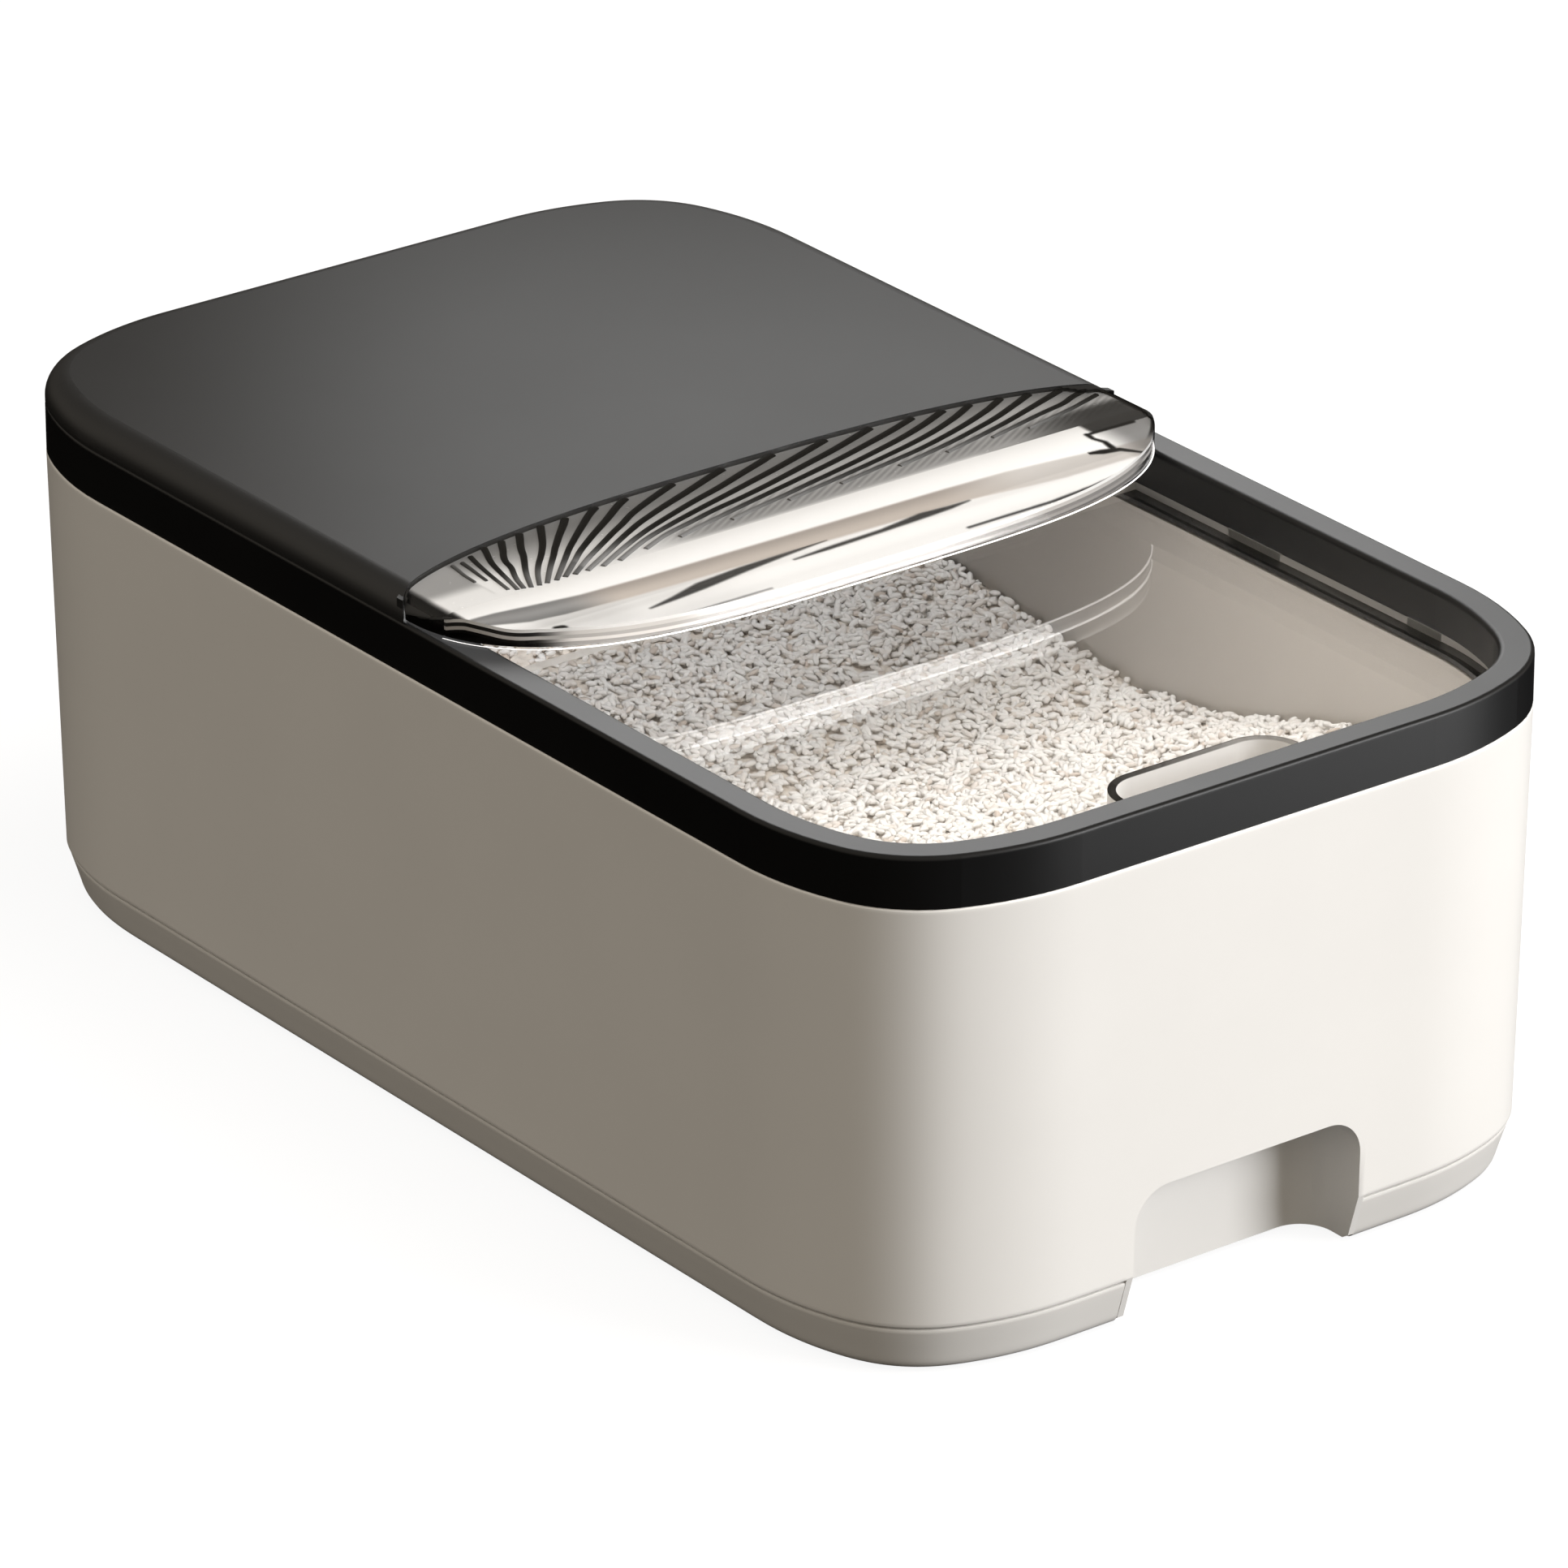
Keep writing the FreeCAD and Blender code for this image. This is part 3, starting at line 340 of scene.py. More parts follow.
CLEAR = clear("clear_acrylic", tint=(0.99, 0.99, 0.985), ior=1.3, rough=0.006, gain=1.9, edges=0.75, wavy=0.015)
CLEAR_VISOR = clear("clear_visor", tint=(0.99, 0.99, 0.99), ior=1.2, rough=0.04, gain=0.45)
# painted glow for the clear cap's front wall
EDGE = frosted("clear_edge_painted_glow", (0.95, 0.94, 0.93), 0.25, 1.5)


def fabric():
    m, nt, out = nodetree("sachet_fabric")
    v = coords(nt)
    w = add(nt, "ShaderNodeTexVoronoi", Scale=900.0)
    w.feature = "DISTANCE_TO_EDGE"
    n = add(nt, "ShaderNodeTexNoise", Scale=300.0, Detail=4.0)
    nt.links.new(v, w.inputs["Vector"])
    nt.links.new(v, n.inputs["Vector"])
    p = add(nt, "ShaderNodeBsdfPrincipled", Roughness=0.85)
    p.inputs["Sheen Weight"].default_value = 0.3
    nt.links.new(ramp(nt, n.outputs["Fac"], [(0.3, (0.78, 0.78, 0.76)), (0.7, (0.9, 0.9, 0.88))]),
                 p.inputs["Base Color"])
    b = add(nt, "ShaderNodeBump", Strength=0.5, Distance=0.0002)
    nt.links.new(w.outputs["Distance"], b.inputs["Height"])
    nt.links.new(b.outputs["Normal"], p.inputs["Normal"])
    nt.links.new(p.outputs["BSDF"], out.inputs["Surface"])
    return m


SACHET = fabric()


def rice_material(name):
    m, nt, out = nodetree(name)
    v = coords(nt)
    tone = nt.nodes.new("ShaderNodeAttribute")
    tone.attribute_name = "tone"
    soft = add(nt, "ShaderNodeTexNoise", Scale=700.0, Detail=2.0)
    nt.links.new(v, soft.inputs["Vector"])
    mixv = nt.nodes.new("ShaderNodeMath")
    mixv.operation = "MULTIPLY_ADD"
    mixv.inputs[1].default_value = 0.25
    nt.links.new(soft.outputs["Fac"], mixv.inputs[0])
    nt.links.new(tone.outputs["Fac"], mixv.inputs[2])
    p = add(nt, "ShaderNodeBsdfPrincipled", Roughness=0.45)
    c = ramp(nt, mixv.outputs["Value"], [
        (0.10, (0.66, 0.57, 0.50)),
        (0.35, (0.86, 0.815, 0.775)),
        (0.65, (0.92, 0.90, 0.88)),
        (1.00, (0.96, 0.95, 0.93))])
    nt.links.new(c, p.inputs["Base Color"])
    b = add(nt, "ShaderNodeBump", Strength=0.3, Distance=0.0001)
    nt.links.new(soft.outputs["Fac"], b.inputs["Height"])
    nt.links.new(b.outputs["Normal"], p.inputs["Normal"])
    nt.links.new(p.outputs["BSDF"], out.inputs["Surface"])
    return m


RICE = rice_material("rice_grain")


def bed_material():
    m, nt, out = nodetree("rice_bed")
    v = coords(nt)
    w = add(nt, "ShaderNodeTexVoronoi", Scale=420.0)
    nt.links.new(v, w.inputs["Vector"])
    p = add(nt, "ShaderNodeBsdfPrincipled", Roughness=0.6)
    # painted shade: darker towards the edge of each Voronoi cell, in the creases between the bed's lumps
    nt.links.new(ramp(nt, w.outputs["Distance"], [(0.0, (0.88, 0.82, 0.74)), (0.5, (0.82, 0.76, 0.69)),
                                                  (0.9, (0.70, 0.62, 0.54))]), p.inputs["Base Color"])
    b = add(nt, "ShaderNodeBump", Strength=0.8, Distance=0.0008)
    b.invert = True
    nt.links.new(w.outputs["Distance"], b.inputs["Height"])
    nt.links.new(b.outputs["Normal"], p.inputs["Normal"])
    nt.links.new(p.outputs["BSDF"], out.inputs["Surface"])
    return m


BED = bed_material()

USE = {
    "outer_shell": CREAM, "base_plinth": CREAM_BASE, "rubber_feet": RUBBER, "base_screws": STEEL,
    "inner_bin": BIN, "rice_fill": BED, "cover_seal": SEAL, "top_frame": RIM_BLACK, "hood": HOOD_BLACK,
    "cover_screws": STEEL, "slide_track": TRACK_BLACK, "visor_lens": CLEAR_VISOR, "visor_bar": BAR,
    "grip_plate": PLATE, "grip_ribs": RIB_BLACK, "visor_screws": STEEL, "lid_wiper": SEAL,
    "absorber_box": BOX_BLACK, "absorber_screws": STEEL, "absorber_pack": SACHET,
    "absorber_door": BOX_BLACK, "door_pin": STEEL, "lid_panel": CLEAR, "lid_gliders": GLIDE,
    "lid_bumper": SEAL,
}
for name, o in nodes.items():
    m = USE[name]
    if not o.material_slots:
        o.data.materials.append(m)
    for s in o.material_slots:
        s.material = m


# ------------------------------------------------------------ outline with eased corners
def eased_outline(ease=20.0, ds=0.25, space=1.3):
    """Plan outline as (x, y, nx, ny), its corner curvature eased in and out."""
    arcs = [(1 / 89, 89 * TH), (1 / 40, 40 * (math.pi / 2 - 2 * TH)), (1 / 89, 89 * TH)]
    total = sum(l for k, l in arcs) + 2 * ease
    n = int(total / ds)
    raw = []
    for i in range(n):
        s = (i + 0.5) * ds - ease
        k = 0.0
        if s > 0:
            for kk, l in arcs:
                if s < l:
                    k = kk
                    break
                s -= l
        raw.append(k)
    w = int(ease / 2 / ds)
    ker = [1 + math.cos(math.pi * j / (w + 1)) for j in range(-w, w + 1)]
    sk = sum(ker)
    cur = []
    for i in range(n):
        c = 0.0
        for j, q in zip(range(-w, w + 1), ker):
            if 0 <= i + j < n:
                c += raw[i + j] * q
        cur.append(c / sk)
    fix = (math.pi / 2) / (sum(cur) * ds)
    x = y = 0.0
    h = math.pi / 2
    path = [(0.0, 0.0, h)]
    for c in cur:
        hm = h + c * fix * ds / 2
        x += math.cos(hm) * ds
        y += math.sin(hm) * ds
        h += c * fix * ds
        path.append((x, y, h))
    lx, ly = A - abs(x), B - y
    pts = []
    every = max(1, int(space / ds))
    for i in range(0, len(path), every):
        px, py, ph = path[i]
        pts.append((A + px, ly + py, math.sin(ph), -math.cos(ph)))
    px, py, ph = path[-1]
    if abs(pts[-1][0] - (A + px)) > 0.05:
        pts.append((A + px, ly + py, math.sin(ph), -math.cos(ph)))
    q1 = pts
    q2 = [(-x, y, -u, v) for x, y, u, v in reversed(q1)]
    q3 = [(-x, -y, -u, -v) for x, y, u, v in q1]
    q4 = [(x, -y, u, -v) for x, y, u, v in reversed(q1)]
    return q1 + q2 + q3 + q4


EASED = eased_outline()


def swept(name, section, mat, capped=False):
    """An (inset, z) section carried round the eased outline: a ring, or a tray with its two ends capped."""
    n, k = len(EASED), len(section)
    verts, faces = [], []
    for o, z in section:
        verts += [(x - u * o, y - v * o, z) for x, y, u, v in EASED]
    for j in range(k - 1 if capped else k):
        a, b = j * n, ((j + 1) % k) * n
        for i in range(n):
            i2 = (i + 1) % n
            faces.append((a + i, a + i2, b + i2, b + i))
    if capped:
        faces.append(tuple(reversed(range(n))))
        faces.append(tuple(range((k - 1) * n, k * n)))
    o = new_object(name, verts, faces, mat)
    face_out(o)
    return o


def prism_of(name, pts, axis, lo, hi):
    """Prism of a closed polygon; axis z takes (x, y) points, axis y takes (x, z)."""
    n = len(pts)
    if axis == "z":
        verts = [(a, b, lo) for a, b in pts] + [(a, b, hi) for a, b in pts]
    else:
        verts = [(a, lo, b) for a, b in pts] + [(a, hi, b) for a, b in pts]
    faces = [tuple(range(n)), tuple(reversed(range(n, 2 * n)))]
    faces += [(i, i + n, (i + 1) % n + n, (i + 1) % n) for i in range(n)]
    o = new_object(name, verts, faces, None, False)
    face_out(o)
    return o


def round_pair(hx, lo, hi, r, n=12):
    """Rectangle from lo to hi, rounded at its two far corners."""
    pts = [(-hx, lo), (hx, lo)]
    for i in range(n + 1):
        t = math.pi / 2 * i / n
        pts.append((hx - r + r * math.cos(t), hi - r + r * math.sin(t)))
    for i in range(n + 1):
        t = math.pi / 2 + math.pi / 2 * i / n
        pts.append((-hx + r + r * math.cos(t), hi - r + r * math.sin(t)))
    return pts


def pocket(grow, z_lo):
    """The hand recess, grown by a wall thickness."""
    plan = prism_of("pocket_plan", round_pair(37.7 + grow, -230.0, -184.5 + grow, 10.0 + grow), "z",
                    z_lo, 39.5 + grow + 4)
    arch = prism_of("pocket_arch", round_pair(37.7 + grow, z_lo, 39.5 + grow, 11.0 + grow), "y",
                    -231.0, -184.5 + grow + 5)
    boolean(plan, arch, "INTERSECT")
    return plan


def soften(o, pick, width, angle=40):
    bm = bmesh.new()
    bm.from_mesh(o.data)
    bmesh.ops.remove_doubles(bm, verts=bm.verts, dist=1e-6)
    bm.normal_update()
    edges = [e for e in bm.edges if len(e.link_faces) == 2 and
             e.calc_face_angle(0) > math.radians(angle) and pick(e)]
    if edges:
        bmesh.ops.bevel(bm, geom=edges, offset=width * MM, segments=3, profile=0.5, affect="EDGES",
                        clamp_overlap=True)
    bm.to_mesh(o.data)
    bm.free()
    o.data.update()


# ---- lower shell
def shell_inset(z):
    return 2.3 * (134.0 - z) / (134.0 - 14.9)


section = [(shell_inset(14.9) + 0.5, 14.9), (shell_inset(15.05) + 0.15, 15.05), (shell_inset(15.4), 15.4)]
section += [(shell_inset(z), z) for z in (16.2, 60.0, 100.0, 132.4, 133.2)]
section += [(0.01 + 0.8 - 0.8 * math.sin(math.radians(a)) + shell_inset(133.2) * math.sin(math.radians(a)) * 0,
             133.2 + 0.8 * math.cos(math.radians(a))) for a in (67.5, 45, 22.5, 0)]
section += [(2.0, 134.0), (4.3, 14.9)]
shell = swept("shell_skin", section, CREAM)

ins = pocket(2.0, 1.2)
bm = bmesh.new()
bm.from_mesh(ins.data)
for (y0, z0), (y1, z1) in (((-(B - 2.3), 14.9), (-B, 134.0)), ((-(B - 6.2), 2.6), (-(B - 2.5), 14.9)),
                           ((-(B - 8.8), 1.0), (-(B - 6.2), 2.6))):
    d = Vector((0, y1 - y0, z1 - z0)).normalized()
    nrm = Vector((0, -d.z, d.y))
    res = bmesh.ops.bisect_plane(bm, geom=bm.verts[:] + bm.edges[:] + bm.faces[:],
                                 plane_co=Vector((0, y0, z0)) * MM, plane_no=nrm, clear_outer=True)
    cut = [e for e in res["geom_cut"] if isinstance(e, bmesh.types.BMEdge)]
    bmesh.ops.holes_fill(bm, edges=cut)
bmesh.ops.recalc_face_normals(bm, faces=bm.faces)
bm.to_mesh(ins.data)
bm.free()
boolean(shell, ins, "UNION")
boolean(shell, pocket(0.0, -5.0), "DIFFERENCE")
soften(shell, lambda e: all(v.co.y < -0.1975 and abs(v.co.x) < 0.0385 and v.co.z < 0.0402 and v.co.z > 0.0155
                            for v in e.verts) and
       any(f.normal.y < -0.9 for f in e.link_faces) and any(abs(f.normal.y) < 0.5 for f in e.link_faces), 0.7)
smooth(shell)
for p in shell.data.polygons:
    if p.normal.y < -0.9997 and abs(p.center.x) < 0.047:
        p.use_smooth = False
shell.data.set_sharp_from_angle(angle=math.radians(38))
shell.data.materials.clear()
shell.data.materials.append(CREAM)
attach(shell, "bin")
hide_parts("outer_shell")

# ---- base
section = [(10.6, 3.0), (10.6, 0.8), (8.9, 0.8), (8.15, 0.95), (7.45, 1.35), (6.85, 1.95), (6.35, 2.7), (6.0, 3.6),
           (5.6, 5.0), (4.6, 8.3), (3.2, 12.8), (2.98, 13.7), (3.12, 14.05), (3.5, 14.2), (6.4, 14.2), (6.4, 5.4)]
base = swept("base_tray", section, CREAM_BASE, capped=True)
boolean(base, pocket(2.06, -5.0), "DIFFERENCE")
holes = None
for sx in (-1, 1):
    for y in (-120.0, 0.0, 120.0):
        ring = [(sx * 107 + 2.8 * math.cos(t * math.pi / 12), y + 2.8 * math.sin(t * math.pi / 12)) for t in range(24)]
        h = prism_of("hole", ring, "z", 2.0, 3.6)
        boolean(base, h, "DIFFERENCE")
smooth(base)
base.data.set_sharp_from_angle(angle=math.radians(38))
base.data.materials.clear()
base.data.materials.append(CREAM_BASE)
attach(base, "bin")
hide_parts("base_plinth")


# ------------------------------------------------------------ visor
V_HALF, V_REAR, V_FRONT, V_TOP, V_LO = 119.5, 21.0, 51.0, 156.4, 148.8


def rear_y(x, o=0.0):
    t = min(1.0, abs(x) / (V_HALF - o))
    return (V_REAR - o) * (1 - t ** 2.8) ** (1 / 1.6)


def front_y(x, o=0.0):
    t = min(1.0, abs(x) / (V_HALF - o))
    return -(V_FRONT - o) * (1 - t ** 3.7) ** (1 / 2.2)


def cap_z(x, y):
    """Top surface of the visor: crowned at the front, rounded down at both ends."""
    z = V_TOP
    if y < -8:
        z -= 440 - math.sqrt(440 ** 2 - (y + 8) ** 2)
    d = abs(x) - 112.75
    if d > 0:
        z = min(z, 149.45 + math.sqrt(max(0.0, 49 - min(d, 6.97) ** 2)))
    return z


def rim_gap(x, y):
    """Rough distance from the visor's outline, inwards."""
    t = min(1.0, abs(x) / V_HALF)
    e = rear_y(x) - y if y > 0 else y - front_y(x)
    return min(V_HALF - abs(x), max(0.0, e) * 0.75)


def columns(half, fine):
    """x positions, closer together at both tips."""
    xs = []
    n = int(half / fine)
    for i in range(n + 1):
        t = i / n
        xs.append(half * math.sin(math.pi / 2 * t) if half < 1 else half * (t + 0.12 * math.sin(math.pi * t) * t))
    xs = [x * half / xs[-1] for x in xs]
    return [-x for x in reversed(xs[1:])] + xs


def lens():
    """Clear cap: crowned top, upright wall, open below, 1 mm thick."""
    verts, faces, wall = [], [], []
    xs = columns(V_HALF, 1.5)
    nx = len(xs)
    ny = 30

    def loop(o, zf):
        idx = []
        ring = [(x, rear_y(x * V_HALF / V_HALF)) for x in xs] + [(x, front_y(x)) for x in reversed(xs[1:-1])]
        for x, y in ring:
            r = math.hypot(x / V_HALF, y / (V_REAR if y > 0 else V_FRONT)) or 1
            k = V_HALF - o
            x2 = x * k / V_HALF
            y2 = rear_y(x2, o) if y >= 0 else front_y(x2, o)
            idx.append(len(verts))
            verts.append((x2, y2, zf(x2, y2)))
        return idx

    def grid(o, drop, flip):
        rows = []
        k = (V_HALF - o) / V_HALF
        for j in range(ny + 1):
            row = []
            for x in xs:
                x2 = x * k
                a, b = front_y(x2, o), rear_y(x2, o)
                y = a + (b - a) * j / ny
                row.append(len(verts))
                verts.append((x2, y, cap_z(x2, y) - drop))
            rows.append(row)
        for j in range(ny):
            for i in range(nx - 1):
                f = (rows[j][i], rows[j][i + 1], rows[j + 1][i + 1], rows[j + 1][i])
                faces.append(tuple(reversed(f)) if flip else f)
        return rows[ny] + list(reversed(rows[0][1:-1]))

    def bridge(a, b, mark=0):
        n = len(a)
        for i in range(n):
            j = (i + 1) % n
            faces.append((a[i], a[j], b[j], b[i]))
            if mark:
                wall.append(len(faces) - 1)

    top = grid(0.35, 0.0, False)
    r1 = loop(0.2, lambda x, y: cap_z(x, y) - 0.06)
    r2 = loop(0.06, lambda x, y: cap_z(x, y) - 0.2)
    r3 = loop(0.0, lambda x, y: cap_z(x, y) - 0.35)
    r3b = loop(0.0, lambda x, y: min(V_LO + 0.45, cap_z(x, y) - 0.38))
    r4 = loop(0.0, lambda x, y: min(V_LO, cap_z(x, y) - 0.4))
    r5 = loop(0.42, lambda x, y: min(V_LO, cap_z(x, y) - 0.4))
    r6 = grid(0.42, 0.5, True)
    bridge(top, r1)
    bridge(r1, r2)
    bridge(r2, r3)
    bridge(r3, r3b)
    bridge(r3b, r4, 1)
    bridge(r4, r5, 1)
    bridge(r5, r6)
    o = new_object("visor_cap", verts, faces, CLEAR_VISOR)
    o.data.materials.append(EDGE)
    o.data.materials.append(HOOD_BLACK)
    return o, wall


cap, wall_faces = lens()
# painted glow: front wall faces of the clear cap take the glowing edge material, a painted highlight along the visor's
# front edge
if len(cap.data.polygons) > max(wall_faces):
    for i in wall_faces:
        p = cap.data.polygons[i]
        under = p.center.z < (V_LO + 0.1) * MM
        if under and p.center.y < -0.004 and abs(p.center.x) < 0.1175:
            p.material_index = 1
        elif p.center.y < -0.030 and p.center.x > -0.100 and p.center.x < 0.104:
            p.material_index = 1
# painted shadow: cap faces by the outline at the right tip and the left rear tip take the hood's black, a painted dark
# gap between visor and hood
for p in cap.data.polygons:
    x, y, z = p.center / MM
    if x > 106 and y > -27 and z > 149.5 and rim_gap(x, y) < 3.3 * step(104, 112, x) * step(-27, -15, y):
        p.material_index = 2
    if x < -115 and p.normal.z > 0.25 and y > -16 and rim_gap(x, y) < 0.9:
        p.material_index = 2
bm = bmesh.new()
bm.from_mesh(cap.data)
bmesh.ops.remove_doubles(bm, verts=bm.verts, dist=2e-6)
bmesh.ops.dissolve_degenerate(bm, edges=bm.edges, dist=2e-6)
bmesh.ops.recalc_face_normals(bm, faces=bm.faces)
bm.to_mesh(cap.data)
bm.free()
smooth(cap)
cap.data.set_sharp_from_angle(angle=math.radians(50))
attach(cap, "cover")
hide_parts("visor_lens")

SX, SY = 1.317, 1.74     # how far the fan's features shift per mm of depth under the cap


def lin(v):
    v = min(1.0, max(0.0, v / 255.0))
    return v / 12.92 if v <= 0.04045 else ((v + 0.055) / 1.055) ** 2.4


# painted reflections: limits of the white band (painted highlight of the soft light) and of the taupe band under it
# (painted reflection of the room)
BAND_TOP = [(-118, -12), (-100, -13.3), (-82, -14.5), (-52, -15.8), (58, -16), (68, -17.5), (78, -19.5), (92, -22.5)]
BAND_LOW = [(-117, -22), (-107, -22.5), (-97, -24), (-82, -26), (-62, -26.8), (38, -27.5), (58, -28), (78, -30),
            (92, -32)]
TAUPE_LOW = [(-112, -28), (-102, -32), (-92, -33.5), (-72, -34.5), (-52, -35), (-22, -35.4), (18, -36), (38, -36.2),
             (58, -38.4), (70, -39.5)]


def stroke(x, y, pts):
    """Distance inside a tapered stroke, pts = (x, y, half width); negative outside."""
    best = -9.0
    for (x0, y0, w0), (x1, y1, w1) in zip(pts[:-1], pts[1:]):
        dx, dy = x1 - x0, y1 - y0
        t = max(0.0, min(1.0, ((x - x0) * dx + (y - y0) * dy) / (dx * dx + dy * dy)))
        w = w0 + (w1 - w0) * t
        best = max(best, w - math.hypot(x - x0 - dx * t, y - y0 - dy * t))
    return best


# painted reflections and shadows as tapered strokes: dark streaks, dark and grey lines, dark marks at the right end,
# white and black shapes at the left end
STREAK_A = [(-71, -42.6, 0.3), (-62, -41.2, 1.0), (-52, -39.2, 1.9), (-37, -37.4, 1.5), (-22, -36.3, 0.8), (-8, -35.4, 0.2)]
STREAK_B = [(-22, -40, 0.3), (-10, -39.5, 0.8), (8, -38.8, 0.8), (23, -37.4, 1.5), (32, -37.4, 0.9), (39, -36.9, 0.3)]
LINE_R = [(29, -49.4, 0.5), (58, -49.1, 0.6), (73, -47.6, 0.6), (83, -45.9, 0.6), (93, -42.4, 0.6), (98, -40.2, 0.6),
          (103, -36, 0.5)]
LINE_L = [(-96, -46, 0.5), (-80, -49, 0.5), (-62, -50, 0.4), (-37, -50, 0.3)]
MARK_R = [(91.5, -21.6, 0.9), (91.2, -24.5, 0.7), (92.5, -28, 0.8), (92, -32, 1.0)]
BLOB_R = [(84, -31.4, 0.6), (88, -32.6, 1.4), (93, -34, 1.0), (97, -38.6, 0.5)]
TOP_R = [(92, -21.6, 0.6), (107, -21.8, 0.8)]
WHITE_L = [(-121, -26, 1.6), (-116, -32.5, 2.0), (-112, -39, 1.8)]
BLACK_L = [(-111, -38.6, 1.6), (-105, -41.4, 1.6), (-100, -43.6, 0.9)]
DOT_L = [(-98.5, -38.8, 1.0), (-97, -39.4, 1.3)]


def blend(v, w, d, soft=0.5):
    k = min(1.0, max(0.0, (d + soft) / (2 * soft)))
    return v + (w - v) * k


def plate_painted_reflections(x, y):
    """Tone of the silver plate between the ribs, painted light throughout: brighter towards the front, bright and dark
    patches, dark diagonal stripes and the white band are painted reflections, the dark edge at the tips a painted
    shadow; no warmth.
    """
    # painted reflection: brighter towards the front and in patches
    g = 122 + 66 * step(13, 0, y)
    g += 52 * step(-15, -55, x) * step(4, -5, y)
    g += (172 - g) * step(-5.5, -9, y) * step(-52, -25, x)
    g += 25 * step(-80, -94, x) * step(6, -8, y)
    g *= 1 - 0.35 * step(85, 112, x) * step(-6, 2, y)
    # painted shade: dark patch at the right end
    painted_dark = step(70, 104, x + 0.6 * (-9 - y)) * step(-4, -9, y)
    g += (58 - g) * painted_dark
    silver = step(-98.5, -100.5, x)
    g += (168 - g) * silver
    g += (252 - g) * silver * step(-3, -9, y)
    # painted reflection: dark diagonal stripes
    stripe = 0.5 + 0.5 * math.sin((x - 1.7 * y) * 2 * math.pi / 3.6)
    g -= 34 * stripe * step(1, -6, y) * step(-14.5, -11, y) * step(-60, -20, x) * (1 - 0.7 * painted_dark)
    # painted highlight: the white band reaches onto the plate
    g += (252 - g) * step(2.2, -0.6, y - table(BAND_TOP, x)) * (1 - painted_dark)
    # painted shadow: dark edge by the outline at both tips
    g += (8 - g) * step(1.9, 0.9, rim_gap(x, y)) * step(104, 110, x)
    g += (10 - g) * step(-115, -117.5, x)
    return g, 0.0


def bar_painted_reflections(x, y):
    """Tone and warmth of the bar, all painted reflections: white roll (painted highlight), taupe roll (painted
    reflection of the room), white front roll, with painted dark streaks, lines and shadow gaps.
    """
    up, lo, tl = table(BAND_TOP, x), table(BAND_LOW, x), table(TAUPE_LOW, x)
    g, w = 255.0, 0.0
    # painted reflection of the room: the taupe band, darker at the left, lighter at the right
    if y < lo + 0.6:
        t = step(lo, tl, y)
        mid = 162 + 50 * t
        warm = 1.0
        left = step(-72, -92, x)
        mid += (128 + 20 * math.sin(3.1 * t) - mid) * left
        warm *= 1 - left
        right = step(30, 66, x)
        mid += (222 - mid) * right * 0.8
        warm *= 1 - 0.6 * right
        inside = step(lo + 0.6, lo - 0.8, y) * step(tl - 0.9, tl + 0.5, y)
        g += (mid - g) * inside
        w = warm * inside
    # painted reflections on the front roll: darker towards the front and left, a bright patch at the left, dark
    # streaks and lines
    low = step(tl + 0.3, tl - 0.8, y)
    if low > 0:
        g -= 9 * low * step(-44, -48, y) + 14 * low * step(-30, -60, x)
        k = step(-70, -84, x) * step(-104, -98, x) * step(-47, -44, y)
        g += (226 - g) * low * k
        g = blend(g, 66, stroke(x, y, STREAK_A), 0.45)
        g = blend(g, 62, stroke(x, y, STREAK_B), 0.45)
        g = blend(g, 55, stroke(x, y, LINE_R), 0.4)
        g = blend(g, 120, stroke(x, y, LINE_L), 0.4)
    # painted shadow and reflection marks at the right end
    if x > 84:
        d = stroke(x, y, TOP_R)
        if x > 92.5 and y > -21.6:
            g += (48 - g) * step(92.5, 94.5, x)
        elif x > 93 and y > -40:
            g += (138 - g) * step(91, 102, x)
        g = blend(g, 10, max(d, stroke(x, y, MARK_R), stroke(x, y, BLOB_R)), 0.4)
    # painted shadow: dark gap by the outline at the right end
    if x > 100:
        g += (10 - g) * step(1.7, 0.8, rim_gap(x, y)) * step(-34, -28, y)
    # painted shadow and reflection at the left end: dark tip, white and black shapes
    if x < -94:
        if x < -114.5:
            g += (12 - g) * step(-114.5, -116.5, x)
        g = blend(g, 255, stroke(x, y, WHITE_L), 0.5)
        g = blend(g, 6, max(stroke(x, y, BLACK_L), stroke(x, y, DOT_L)), 0.5)
    return g, w


LIGHT = 1.10


